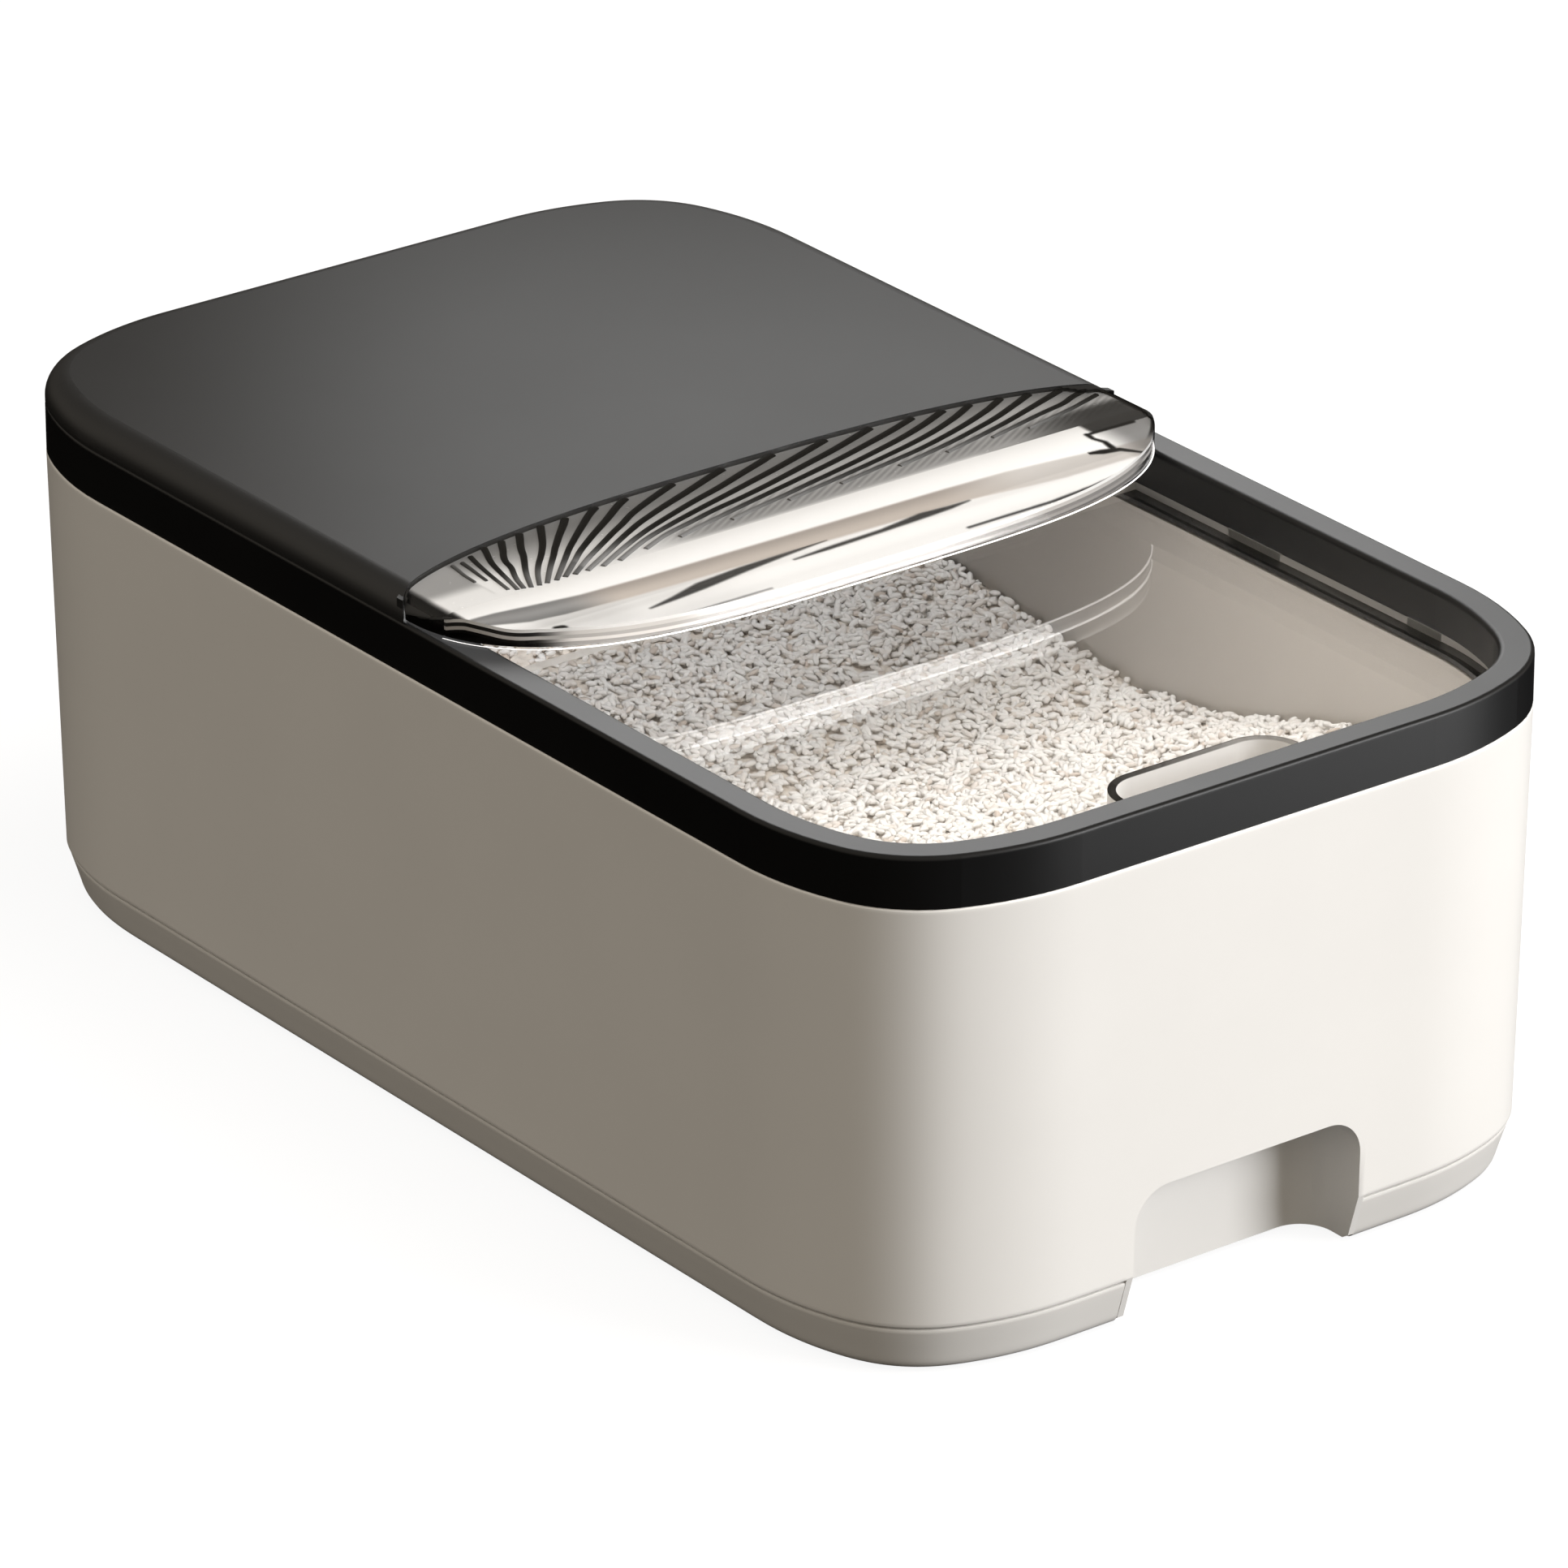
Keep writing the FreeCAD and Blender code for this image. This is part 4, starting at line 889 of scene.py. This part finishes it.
def deck(name, y_lo, y_hi, o, under, depth, tone, mat, fine, z_low, wall_painted_highlights):
    """Solid under the cap between two y limits; its top follows the cap."""
    verts, faces, tones, warms = [], [], [], []
    half = V_HALF - o
    xs = [x for x in columns(half, fine) if front_y(x, o) < y_hi - 0.3 and rear_y(x, o) > y_lo + 0.3]
    ny = int(min(y_hi, V_REAR) - max(y_lo, -V_FRONT)) * 2

    def put(x, y, z, t, w):
        verts.append((x, y, z))
        tones.append(t)
        warms.append(w)
        return len(verts) - 1

    rows = []
    for j in range(ny + 1):
        row = []
        for x in xs:
            a, b = max(front_y(x, o), y_lo), min(rear_y(x, o), y_hi)
            y = a + (b - a) * j / ny
            z = cap_z(x, y) - under - depth(x, y)
            d = cap_z(x, y) - z
            # painted reflections: each point takes its painted tone, shifted by its depth under the cap
            g, w = tone(x - SX * d, y - SY * d)
            row.append(put(x, y, z, lin(g) / LIGHT, w))
        rows.append(row)
    nx = len(xs)
    for j in range(ny):
        for i in range(nx - 1):
            faces.append((rows[j][i], rows[j][i + 1], rows[j + 1][i + 1], rows[j + 1][i]))
    edge = rows[0] + [r[-1] for r in rows[1:-1]] + list(reversed(rows[ny])) + [r[0] for r in reversed(rows[1:-1])]
    prev = edge
    # walls toned in lines from the top edge down: painted highlights and dark lines
    for k, level in enumerate((0.02, 0.9, 0.95, 2.0, 2.05, 3.0, 3.05, 3.9, 3.95, 9.0)):
        ring = []
        for e in edge:
            x, y, z = verts[e]
            zr = max(z_low, z - level)
            ring.append(put(x, y, zr - 0.001 * k, lin(wall_painted_highlights(x, k // 2)) / 1.05, 0.3 if k > 1 else 0.0))
        n = len(edge)
        for i in range(n):
            j = (i + 1) % n
            faces.append((prev[i], ring[i], ring[j], prev[j]))
        prev = ring
    ring = []
    for e in edge:
        x, y, z = verts[e]
        ring.append(put(x * 0.999, y * 0.998, z_low - 0.012, 0.002, 0.0))
    n = len(edge)
    for i in range(n):
        j = (i + 1) % n
        faces.append((prev[i], ring[i], ring[j], prev[j]))
    prev = ring
    faces.append(tuple(prev))
    ob = new_object(name, verts, faces, mat)
    for nm, vals in (("tone", tones), ("warm", warms)):
        at = ob.data.attributes.new(nm, "FLOAT", "POINT")
        at.data.foreach_set("value", vals)
    face_out(ob)
    smooth(ob)
    ob.data.set_sharp_from_angle(angle=math.radians(50))
    return ob


def roll(x, y):
    """Depth of the bar's long rolls under the cap."""
    t = (y + 13.9) / -12.0
    if 0 <= t < 1:
        return 0.5 * (1 - math.sin(math.pi * t)) * 0.8
    t = (y + 25.9) / -9.0
    if 0 <= t < 1:
        return 0.4 + 0.5 * math.sin(math.pi * t)
    return 0.4 * step(-40, -35, y)


SPLIT = -13.9
fine = 0.5


def wall_painted_highlights(x, k):
    """Tone of the bar's front wall at x, in five lines from its top edge down: painted highlights and painted dark
    lines of the clear edge.
    """
    left, right = step(-94, -104, x), step(92, 104, x)
    dim = step(15, 48, x)
    g = (238, 216, 188, 236, 172)[k] * (1 - dim) + (232, 186, 132, 150, 104)[k] * dim
    g += ((246, 46, 205, 24, 8)[k] - g) * left
    g += ((236, 90, 190, 30, 10)[k] - g) * right
    return g


bar = deck("visor_bar_painted_bands", -60.0, SPLIT, 0.5, 0.62, roll, bar_painted_reflections, BAR, fine, 149.4, wall_painted_highlights)
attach(bar, "cover")
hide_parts("visor_bar")
plate = deck("fan_plate", SPLIT + 0.05, 40.0, 0.5, 1.1, lambda x, y: 0.0, plate_painted_reflections, PLATE, fine, 149.4,
             lambda x, k: 14)
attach(plate, "cover")
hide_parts("grip_plate")

RIBS = [
    (0.55, [(-95.9, 11.6), (-96.4, 8.1), (-97.1, 4.1), (-97.4, -0.9)]),
    (0.60, [(-92.7, 11.6), (-93.2, 7.1), (-93.9, 2.1), (-94.4, -1.9)]),
    (0.70, [(-88.6, 13.6), (-89.4, 10.6), (-90.3, 6.6), (-91.2, 2.1), (-92.1, -2.9), (-93.2, -9.9)]),
    (0.85, [(-82.4, 16.1), (-83.7, 13.1), (-85.0, 10.4), (-86.4, 7.1), (-87.6, 3.1), (-88.6, -0.9), (-89.8, -5.9), (-91.2, -11.4)]),
    (0.95, [(-75.7, 17.7), (-77.7, 14.4), (-79.4, 11.6), (-81.4, 8.6), (-83.0, 5.4), (-83.9, 2.1), (-84.8, -0.1), (-86.4, -3.3), (-87.9, -6.9), (-89.4, -11.7)]),
    (1.00, [(-69.0, 18.9), (-71.4, 15.1), (-73.4, 12.1), (-75.2, 9.1), (-76.9, 5.9), (-78.9, 2.7), (-80.6, 0.1), (-82.4, -2.8), (-84.4, -6.3), (-87.4, -12.2)]),
    (1.00, [(-61.0, 20.5), (-63.4, 16.6), (-65.9, 12.7), (-68.4, 9.0), (-71.4, 5.2), (-74.0, 2.2), (-76.4, -0.4), (-78.8, -3.3), (-81.4, -6.9), (-84.9, -12.5)]),
    (1.05, [(-51.8, 21.5), (-55.4, 17.3), (-58.4, 14.2), (-61.4, 11.2), (-64.4, 8.0), (-67.4, 4.8), (-70.4, 1.3), (-74.4, -3.1), (-78.4, -7.7), (-82.4, -12.5)]),
    (1.05, [(-40.8, 21.7), (-44.9, 19.1), (-48.4, 16.4), (-52.4, 13.0), (-56.4, 9.6), (-60.4, 6.1), (-64.4, 2.5), (-68.4, -1.5), (-72.4, -5.5), (-79.4, -12.5)]),
    (1.10, [(-29.8, 22.1), (-34.4, 19.7), (-38.4, 17.1), (-43.4, 13.4), (-48.4, 9.9), (-53.4, 6.5), (-58.4, 2.9), (-63.4, -0.9), (-68.4, -5.3), (-76.9, -12.6)]),
    (1.10, [(-14.0, 22.3), (-18.4, 20.3), (-23.4, 18.1), (-28.4, 15.8), (-33.4, 13.4), (-38.4, 10.7), (-43.4, 7.4), (-48.4, 4.4), (-53.4, 1.2), (-58.4, -2.0), (-64.4, -5.9), (-73.9, -12.7)]),
    (1.15, [(2.6, 22.1), (-3.4, 19.9), (-8.4, 17.9), (-18.4, 13.8), (-28.4, 9.9), (-38.4, 5.6), (-43.4, 3.0), (-48.4, 0.2), (-53.4, -2.8), (-58.4, -5.9), (-69.9, -12.7)]),
    (1.15, [(21.1, 22.5), (14.6, 20.4), (11.6, 19.1), (1.6, 15.4), (-8.4, 11.6), (-18.4, 8.4), (-28.4, 4.8), (-38.4, 1.0), (-43.4, -1.2), (-48.4, -3.6), (-56.4, -7.9), (-64.9, -12.7)]),
    (1.15, [(38.6, 22.3), (31.6, 19.7), (21.6, 16.1), (11.6, 12.8), (1.6, 9.8), (-8.4, 6.8), (-18.4, 3.9), (-28.4, 0.9), (-38.4, -2.4), (-43.4, -4.3), (-48.4, -6.6), (-58.4, -11.9)]),
    (1.15, [(54.6, 22.3), (51.6, 20.9), (41.6, 17.2), (31.6, 13.7), (21.6, 10.7), (11.6, 7.7), (1.6, 4.8), (-8.4, 2.3), (-18.4, 0.1), (-28.4, -2.7), (-38.4, -5.5), (-48.4, -9.9)]),
    (1.10, [(69.1, 21.7), (61.6, 18.4), (51.6, 14.7), (41.6, 11.5), (31.6, 8.5), (21.6, 5.8), (11.6, 3.3), (1.6, 0.9), (-8.4, -1.5), (-18.4, -4.0), (-28.4, -6.5), (-36.4, -8.9)]),
    (1.10, [(80.6, 21.1), (71.6, 17.3), (61.6, 12.9), (51.6, 9.3), (41.6, 6.4), (31.6, 3.7), (21.6, 1.3), (11.6, -1.0), (1.6, -3.4), (-8.4, -5.5), (-18.4, -7.9)]),
    (1.05, [(89.1, 20.1), (81.6, 17.0), (76.6, 14.3), (71.6, 11.8), (61.6, 7.7), (51.6, 4.6), (41.6, 2.1), (31.6, -0.2), (21.6, -2.3), (11.6, -4.3), (1.6, -6.5)]),
    (1.05, [(97.6, 18.6), (91.6, 15.7), (86.6, 13.0), (81.6, 10.5), (71.6, 6.5), (61.6, 3.2), (51.6, 0.4), (41.6, -1.7), (31.6, -3.6), (19.6, -5.9)]),
    (1.05, [(105.1, 15.7), (101.6, 14.1), (96.6, 12.0), (91.6, 9.7), (81.6, 5.4), (71.6, 2.1), (61.6, -0.8), (51.6, -3.2), (39.6, -5.7)]),
    (1.05, [(112.6, 11.3), (106.6, 9.7), (101.6, 8.0), (91.6, 4.5), (81.6, 1.1), (71.6, -1.8), (63.6, -3.9), (55.6, -5.9)]),
    (0.95, [(115.2, 6.5), (111.6, 5.6), (106.6, 4.1), (101.6, 2.0), (91.6, -0.2), (81.6, -2.7), (71.6, -5.3)]),
    (0.75, [(113.1, 1.4), (106.6, -0.6), (101.6, -2.1), (91.6, -4.4), (83.6, -6.1)]),
]


def rib_curve(pts, step_mm=0.8):
    """Even points of a Catmull-Rom curve through the rib's line."""
    p = [Vector((x, y, 0)) for x, y in pts]
    p = [p[0] * 2 - p[1]] + p + [p[-1] * 2 - p[-2]]
    out = []
    for i in range(1, len(p) - 2):
        n = max(2, int((p[i + 1] - p[i]).length / step_mm))
        for k in range(n):
            t = k / n
            a, b, c, d = p[i - 1], p[i], p[i + 1], p[i + 2]
            out.append(0.5 * ((2 * b) + (c - a) * t + (2 * a - 5 * b + 4 * c - d) * t * t
                              + (3 * b - a - 3 * c + d) * t * t * t))
    out.append(p[-2])
    return out


def ribs():
    verts, faces, tones = [], [], []
    for w, pts in RIBS:
        line = rib_curve([(x - 0.75, y - 0.95) for x, y in pts])
        n = len(line)
        base_i = None
        for i, c in enumerate(line):
            t = i / (n - 1)
            if c.y > rear_y(c.x, 0.7) or c.y < SPLIT + 0.4:
                continue
            d = (line[min(i + 1, n - 1)] - line[max(i - 1, 0)]).normalized()
            nr = Vector((-d.y, d.x, 0))
            h = w * (1.12 - 0.45 * t)
            sy = c.y - 1.1
            # painted highlight: ribs lighter towards the front and at the far left end
            fade = step(0.5, -10.0, sy) * (0.6 if c.x < -70 else 0.8)
            left_painted_highlight = step(-88, -98, c.x) * 0.55
            tone = lin(150 * max(fade, left_painted_highlight)) / LIGHT
            zt = cap_z(c.x, c.y) - 0.62
            zb = zt - 0.6
            sec = [(-h, zb), (-h, zt - 0.25), (-h * 0.6, zt), (h * 0.6, zt), (h, zt - 0.25), (h, zb)]
            ids = []
            for s, z in sec:
                q = c + nr * s
                ids.append(len(verts))
                verts.append((q.x, q.y, z))
                tones.append(tone)
            if base_i is None:
                faces.append(tuple(ids))
            else:
                for k in range(6):
                    k2 = (k + 1) % 6
                    faces.append((base_i[k], base_i[k2], ids[k2], ids[k]))
            base_i = ids
        faces.append(tuple(reversed(base_i)))
    ob = new_object("fan_ribs", verts, faces, RIB_BLACK)
    for nm, vals in (("tone", tones), ("warm", [0.0] * len(verts))):
        at = ob.data.attributes.new(nm, "FLOAT", "POINT")
        at.data.foreach_set("value", vals)
    face_out(ob)
    smooth(ob)
    ob.data.set_sharp_from_angle(angle=math.radians(60))
    return ob


fan = ribs()
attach(fan, "cover")
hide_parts("grip_ribs")


# ------------------------------------------------------------ moisture absorber sachet
def sachet():
    """Crowned pouch with a flat sealed hem all round."""
    verts, faces = [], []
    cx, cy, cz = 0.0, 162.0, 145.2
    hx, hy = 37.4, 17.4
    rnd = random.Random(5)
    nx, ny = 56, 30
    for side in (1, -1):
        for j in range(ny + 1):
            for i in range(nx + 1):
                u, v = 2 * i / nx - 1, 2 * j / ny - 1
                e = max(0.0, 1 - abs(u) ** 5) * max(0.0, 1 - abs(v) ** 4)
                h = 4.3 * max(0.0, e - 0.06) ** 0.55 if e > 0.06 else 0.0
                h *= 1 + 0.05 * math.sin(9 * u + 2 * v) + 0.04 * math.sin(14 * v - 5 * u)
                pull = 1 - 0.03 * (1 - abs(v)) * abs(u) - 0.0
                verts.append((cx + u * hx * pull, cy + v * hy * (1 - 0.05 * (1 - abs(u)) * abs(v)),
                              cz + side * (0.12 + h)))
    off = (nx + 1) * (ny + 1)
    for s in (0, 1):
        for j in range(ny):
            for i in range(nx):
                a = s * off + j * (nx + 1) + i
                f = (a, a + 1, a + nx + 2, a + nx + 1)
                faces.append(f if s == 0 else tuple(reversed(f)))
    loop = [i for i in range(nx + 1)] + [j * (nx + 1) + nx for j in range(1, ny + 1)]
    loop += [ny * (nx + 1) + i for i in reversed(range(nx))] + [j * (nx + 1) for j in reversed(range(1, ny))]
    for k in range(len(loop)):
        a, b = loop[k], loop[(k + 1) % len(loop)]
        faces.append((b, a, a + off, b + off))
    o = new_object("sachet", verts, faces, SACHET)
    face_out(o)
    return o


pouch = sachet()
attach(pouch, "cover")
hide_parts("absorber_pack")

# ------------------------------------------------------------ rice
RICE_LINE = [(200, 84), (120, 90), (30, 88), (-30, 81), (-60, 85), (-90, 92), (-115, 99),
             (-150, 106), (-205, 109)]


def rice_height(y):
    return table(sorted(RICE_LINE), y)


def inside(x, y, o):
    """True if the point is inside the plan outline inset by o."""
    x, y = abs(x), abs(y)
    if x > A - o or y > B - o:
        return False
    c1 = (A - 89, B - EXT)
    c2 = (c1[0] + 49 * math.cos(TH), c1[1] + 49 * math.sin(TH))
    c3 = (A - EXT, B - 89)
    for c, r, t0, t1 in ((c1, 89 - o, 0, TH), (c2, 40 - o, TH, math.pi / 2 - TH),
                         (c3, 89 - o, math.pi / 2 - TH, math.pi / 2)):
        t = math.atan2(y - c[1], x - c[0])
        if t0 <= t <= t1 and math.hypot(x - c[0], y - c[1]) > r:
            return False
    return True


def wall_inset(z):
    """Inset of the food bin's inner face at height z."""
    t = (z - 5.8) / (130.0 - 5.8)
    return 17.8 + (8.6 - 17.8) * t + 1.8


def half_width(y, o):
    lo, hi = 0.0, A - o
    if inside(hi - 1e-4, y, o):
        return hi
    for _ in range(18):
        m = (lo + hi) / 2
        if inside(m, y, o):
            lo = m
        else:
            hi = m
    return lo


def swell(x, y):
    return 1.6 * math.sin(x * 0.031 + 1.3) * math.cos(y * 0.027) + 0.8 * math.sin(x * 0.09 + y * 0.07)


def rice_bed():
    """Body of the rice under its loose top grains, with a lumpy top."""
    rnd = random.Random(77)
    verts, faces = [], []
    ny, nx = 150, 90
    top, low = [], []
    for j in range(ny + 1):
        v = 2 * j / ny - 1
        t_row, l_row = [], []
        zr = rice_height(v * 190)
        o = wall_inset(zr) + 0.5
        y = v * (B - o - 0.05)
        w = half_width(y, o)
        yl = v * (B - 22.5)
        wl = half_width(yl, 22.0)
        if abs(yl) > 178 and yl < 0:
            yl2 = yl
        for i in range(nx + 1):
            u = 2 * i / nx - 1
            z = rice_height(y) + swell(u * w, y) * 0.5 - 2.0
            if 0 < i < nx and 0 < j < ny:
                z += rnd.uniform(-0.6, 0.6)
            t_row.append(len(verts))
            verts.append((u * w, y, z))
        top.append(t_row)
        for i in (0, nx):
            u = 2 * i / nx - 1
            l_row.append(len(verts))
            verts.append((u * wl, yl, 45.0))
        low.append(l_row)
    for j in range(ny):
        for i in range(nx):
            faces.append((top[j][i], top[j][i + 1], top[j + 1][i + 1], top[j + 1][i]))
        faces.append((top[j][0], top[j + 1][0], low[j + 1][0], low[j][0]))
        faces.append((top[j][nx], low[j][1], low[j + 1][1], top[j + 1][nx]))
        faces.append((low[j][0], low[j + 1][0], low[j + 1][1], low[j][1]))
    faces.append(tuple(top[0][::-1]) + (low[0][0], low[0][1]))
    faces.append(tuple(top[ny]) + (low[ny][1], low[ny][0]))
    o = new_object("rice_bed", verts, faces, BED)
    face_out(o)
    return o


bed = rice_bed()
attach(bed, "bin")
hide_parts("rice_fill")


def grain_mesh(verts, faces, tones, centre, axis, side, up, length, width, thick, tone, bent):
    n = 5
    base_i = len(verts)
    rings = ((-0.94, 0.32), (-0.62, 0.80), (0.0, 1.03), (0.62, 0.78), (0.95, 0.30))
    for s, r in rings:
        c = centre + axis * (s * length / 2) + up * (bent * (1 - s * s))
        for k in range(n):
            a = 2 * math.pi * k / n
            v = c + side * (math.cos(a) * r * width / 2) + up * (math.sin(a) * r * thick / 2)
            verts.append((v.x, v.y, v.z))
            tones.append(tone)
    for j in range(len(rings) - 1):
        for k in range(n):
            a = base_i + j * n + k
            b = base_i + j * n + (k + 1) % n
            faces.append((a, b, b + n, a + n))
    faces.append(tuple(base_i + k for k in reversed(range(n))))
    last = base_i + (len(rings) - 1) * n
    faces.append(tuple(last + k for k in range(n)))


def scatter(name, y0, y1, per_mm2, seed):
    rnd = random.Random(seed)
    verts, faces, tones = [], [], []
    count = int((y1 - y0) * 214 * per_mm2)
    for i in range(count):
        x = rnd.uniform(-107, 107)
        y = rnd.uniform(y0, y1)
        z = rice_height(y)
        length = rnd.uniform(3.3, 4.5)
        width = rnd.uniform(1.8, 2.3)
        thick = width * rnd.uniform(0.72, 0.85)
        if not inside(x, y, wall_inset(z) + length * 0.5 + 0.2):
            if not inside(x, y, wall_inset(z) + width * 0.6 + 0.2) or rnd.random() < 0.3:
                continue
            length *= 0.6
        z += swell(x, y) * 0.5 - 0.9 + rnd.uniform(-0.9, 1.0)
        az = rnd.uniform(0, 2 * math.pi)
        tilt = max(-0.9, min(0.9, rnd.gauss(0, 0.30)))
        axis = Vector((math.cos(az) * math.cos(tilt), math.sin(az) * math.cos(tilt), math.sin(tilt)))
        side = axis.cross(Vector((0, 0, 1))).normalized()
        up = side.cross(axis).normalized()
        rl = rnd.uniform(-0.6, 0.6)
        side, up = side * math.cos(rl) + up * math.sin(rl), up * math.cos(rl) - side * math.sin(rl)
        tone = min(1.0, max(0.0, rnd.gauss(0.55, 0.2)))
        if rnd.random() < 0.04:
            tone = rnd.uniform(0.0, 0.15)
        grain_mesh(verts, faces, tones, Vector((x, y, z)), axis, side, up, length, width, thick, tone,
                   rnd.uniform(-0.15, 0.15))
    o = new_object(name, verts, faces, RICE)
    at = o.data.attributes.new("tone", "FLOAT", "POINT")
    at.data.foreach_set("value", tones)
    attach(o, "bin")
    return o


dense = 0.32
sparse = 0.08
strips = [(-198, -155, dense), (-155, -112, dense), (-112, -69, dense), (-69, -26, dense), (-26, 17, dense),
          (17, 60, dense), (60, 130, sparse), (130, 198, sparse)]
GRAINS = []
for i, (y0, y1, d) in enumerate(strips):
    GRAINS.append(scatter("rice_grains_%d" % (i + 1), y0, y1, d, 41 + i))


# ------------------------------------------------------------ floor, lights, camera
m, nt, out = nodetree("floor_paint")
v = coords(nt)
n1 = add(nt, "ShaderNodeTexNoise", Scale=3.0, Detail=3.0)
nt.links.new(v, n1.inputs["Vector"])
p = add(nt, "ShaderNodeBsdfDiffuse")
nt.links.new(ramp(nt, n1.outputs["Fac"], [(0.3, (0.15, 0.15, 0.15)), (0.7, (0.16, 0.16, 0.16))]), p.inputs["Color"])
em = add(nt, "ShaderNodeEmission", Strength=0.9)
em.inputs["Color"].default_value = (1, 1, 1, 1)
sm = add(nt, "ShaderNodeAddShader")
nt.links.new(p.outputs["BSDF"], sm.inputs[0])
nt.links.new(em.outputs["Emission"], sm.inputs[1])
nt.links.new(sm.outputs["Shader"], out.inputs["Surface"])
s = 15000
floor = new_object("floor", [(-s, -s, 0), (s, -s, 0), (s, s, 0), (-s, s, 0)], [(0, 1, 2, 3)], m)
floor.visible_diffuse = False
floor.visible_glossy = False

world = bpy.data.worlds.new("studio")
scene.world = world
world.use_nodes = True
wn = world.node_tree
for n in list(wn.nodes):
    wn.nodes.remove(n)
wo = wn.nodes.new("ShaderNodeOutputWorld")
bg = wn.nodes.new("ShaderNodeBackground")
tc = wn.nodes.new("ShaderNodeTexCoord")
sep = wn.nodes.new("ShaderNodeSeparateXYZ")
wn.links.new(tc.outputs["Generated"], sep.inputs[0])
up = wn.nodes.new("ShaderNodeMapRange")
up.interpolation_type = "SMOOTHSTEP"
up.inputs["From Min"].default_value = -0.06
up.inputs["From Max"].default_value = 0.08
wn.links.new(sep.outputs["Z"], up.inputs["Value"])
dot = wn.nodes.new("ShaderNodeVectorMath")
dot.operation = "DOT_PRODUCT"
dot.inputs[1].default_value = (0.549, 0.725, 0.416)
wn.links.new(tc.outputs["Generated"], dot.inputs[0])
shade = wn.nodes.new("ShaderNodeMapRange")
shade.interpolation_type = "SMOOTHSTEP"
shade.inputs["From Min"].default_value = 0.45
shade.inputs["From Max"].default_value = 0.92
shade.inputs["To Min"].default_value = 0.62
shade.inputs["To Max"].default_value = 0.16
wn.links.new(dot.outputs["Value"], shade.inputs["Value"])
mul = wn.nodes.new("ShaderNodeMath")
mul.operation = "MULTIPLY"
wn.links.new(up.outputs["Result"], mul.inputs[0])
wn.links.new(shade.outputs["Result"], mul.inputs[1])
bg.inputs["Color"].default_value = (1.0, 0.905, 0.775, 1)
wn.links.new(mul.outputs["Value"], bg.inputs["Strength"])
wn.links.new(bg.outputs["Background"], wo.inputs["Surface"])


def area(name, at, look, w, h, power, colour=(1, 1, 1), only=None, shade=None, gloss_only=True):
    d = bpy.data.lights.new(name, "AREA")
    d.shape = "RECTANGLE"
    d.size, d.size_y = w, h
    d.energy = power
    d.color = colour
    o = bpy.data.objects.new(name, d)
    scene.collection.objects.link(o)
    o.location = at
    o.rotation_euler = (Vector(look) - Vector(at)).to_track_quat("-Z", "Y").to_euler()
    o.visible_camera = False
    if only:
        c = bpy.data.collections.new(name + "_on")
        for ob in only:
            c.objects.link(ob)
        o.light_linking.receiver_collection = c
        o.visible_diffuse = not gloss_only
    if shade is not None:
        c = bpy.data.collections.new(name + "_by")
        for ob in shade:
            c.objects.link(ob)
        o.light_linking.blocker_collection = c
    return o


key = area("key", (2.80, -3.79, 1.57), (0, 0, 0.07), 2.4, 2.0, 230, (0.985, 0.99, 1.0))
top = area("top", (0.42, -0.5, 1.6), (0, 0, 0.12), 1.0, 1.0, 21.0, (1.0, 0.99, 0.98))
top.visible_glossy = False
rice = GRAINS + [bed]
fill = area("rice_fill_light", (-0.24, 0.02, 0.92), (0, -0.03, 0.09), 0.5, 0.5, 6.0, (1, 0.99, 0.99), rice, rice,
            False)
fill.visible_glossy = False
sheen = area("sheen", (0.295, 0.30, 0.385), (-0.02, -0.09, 0.155), 0.40, 0.18, 0.74, (1, 1, 1), [nodes["hood"]],
             [nodes["hood"]])
glint = area("glint", (0.56, 0.76, 0.70), (-0.02, -0.08, 0.148), 0.75, 0.55, 6.0, (1, 1, 1), [nodes["top_frame"]],
             [nodes["top_frame"]])
strip = area("strip", (0.27, -0.50, 0.03), (0.05, -0.2, 0.142), 0.3, 0.1, 0.5, (1, 1, 1), [nodes["top_frame"]],
             [nodes["top_frame"]])

cam = bpy.data.cameras.new("camera")
cam.lens = 242.69
cam.sensor_width = 36
cam.clip_start, cam.clip_end = 0.05, 60
co = bpy.data.objects.new("camera", cam)
scene.collection.objects.link(co)
co.location = (-1.5673, -2.0812, 1.2625)
co.rotation_euler = (math.radians(65.396), 0, math.radians(-37.067))
scene.camera = co
scene.view_settings.view_transform = "Standard"
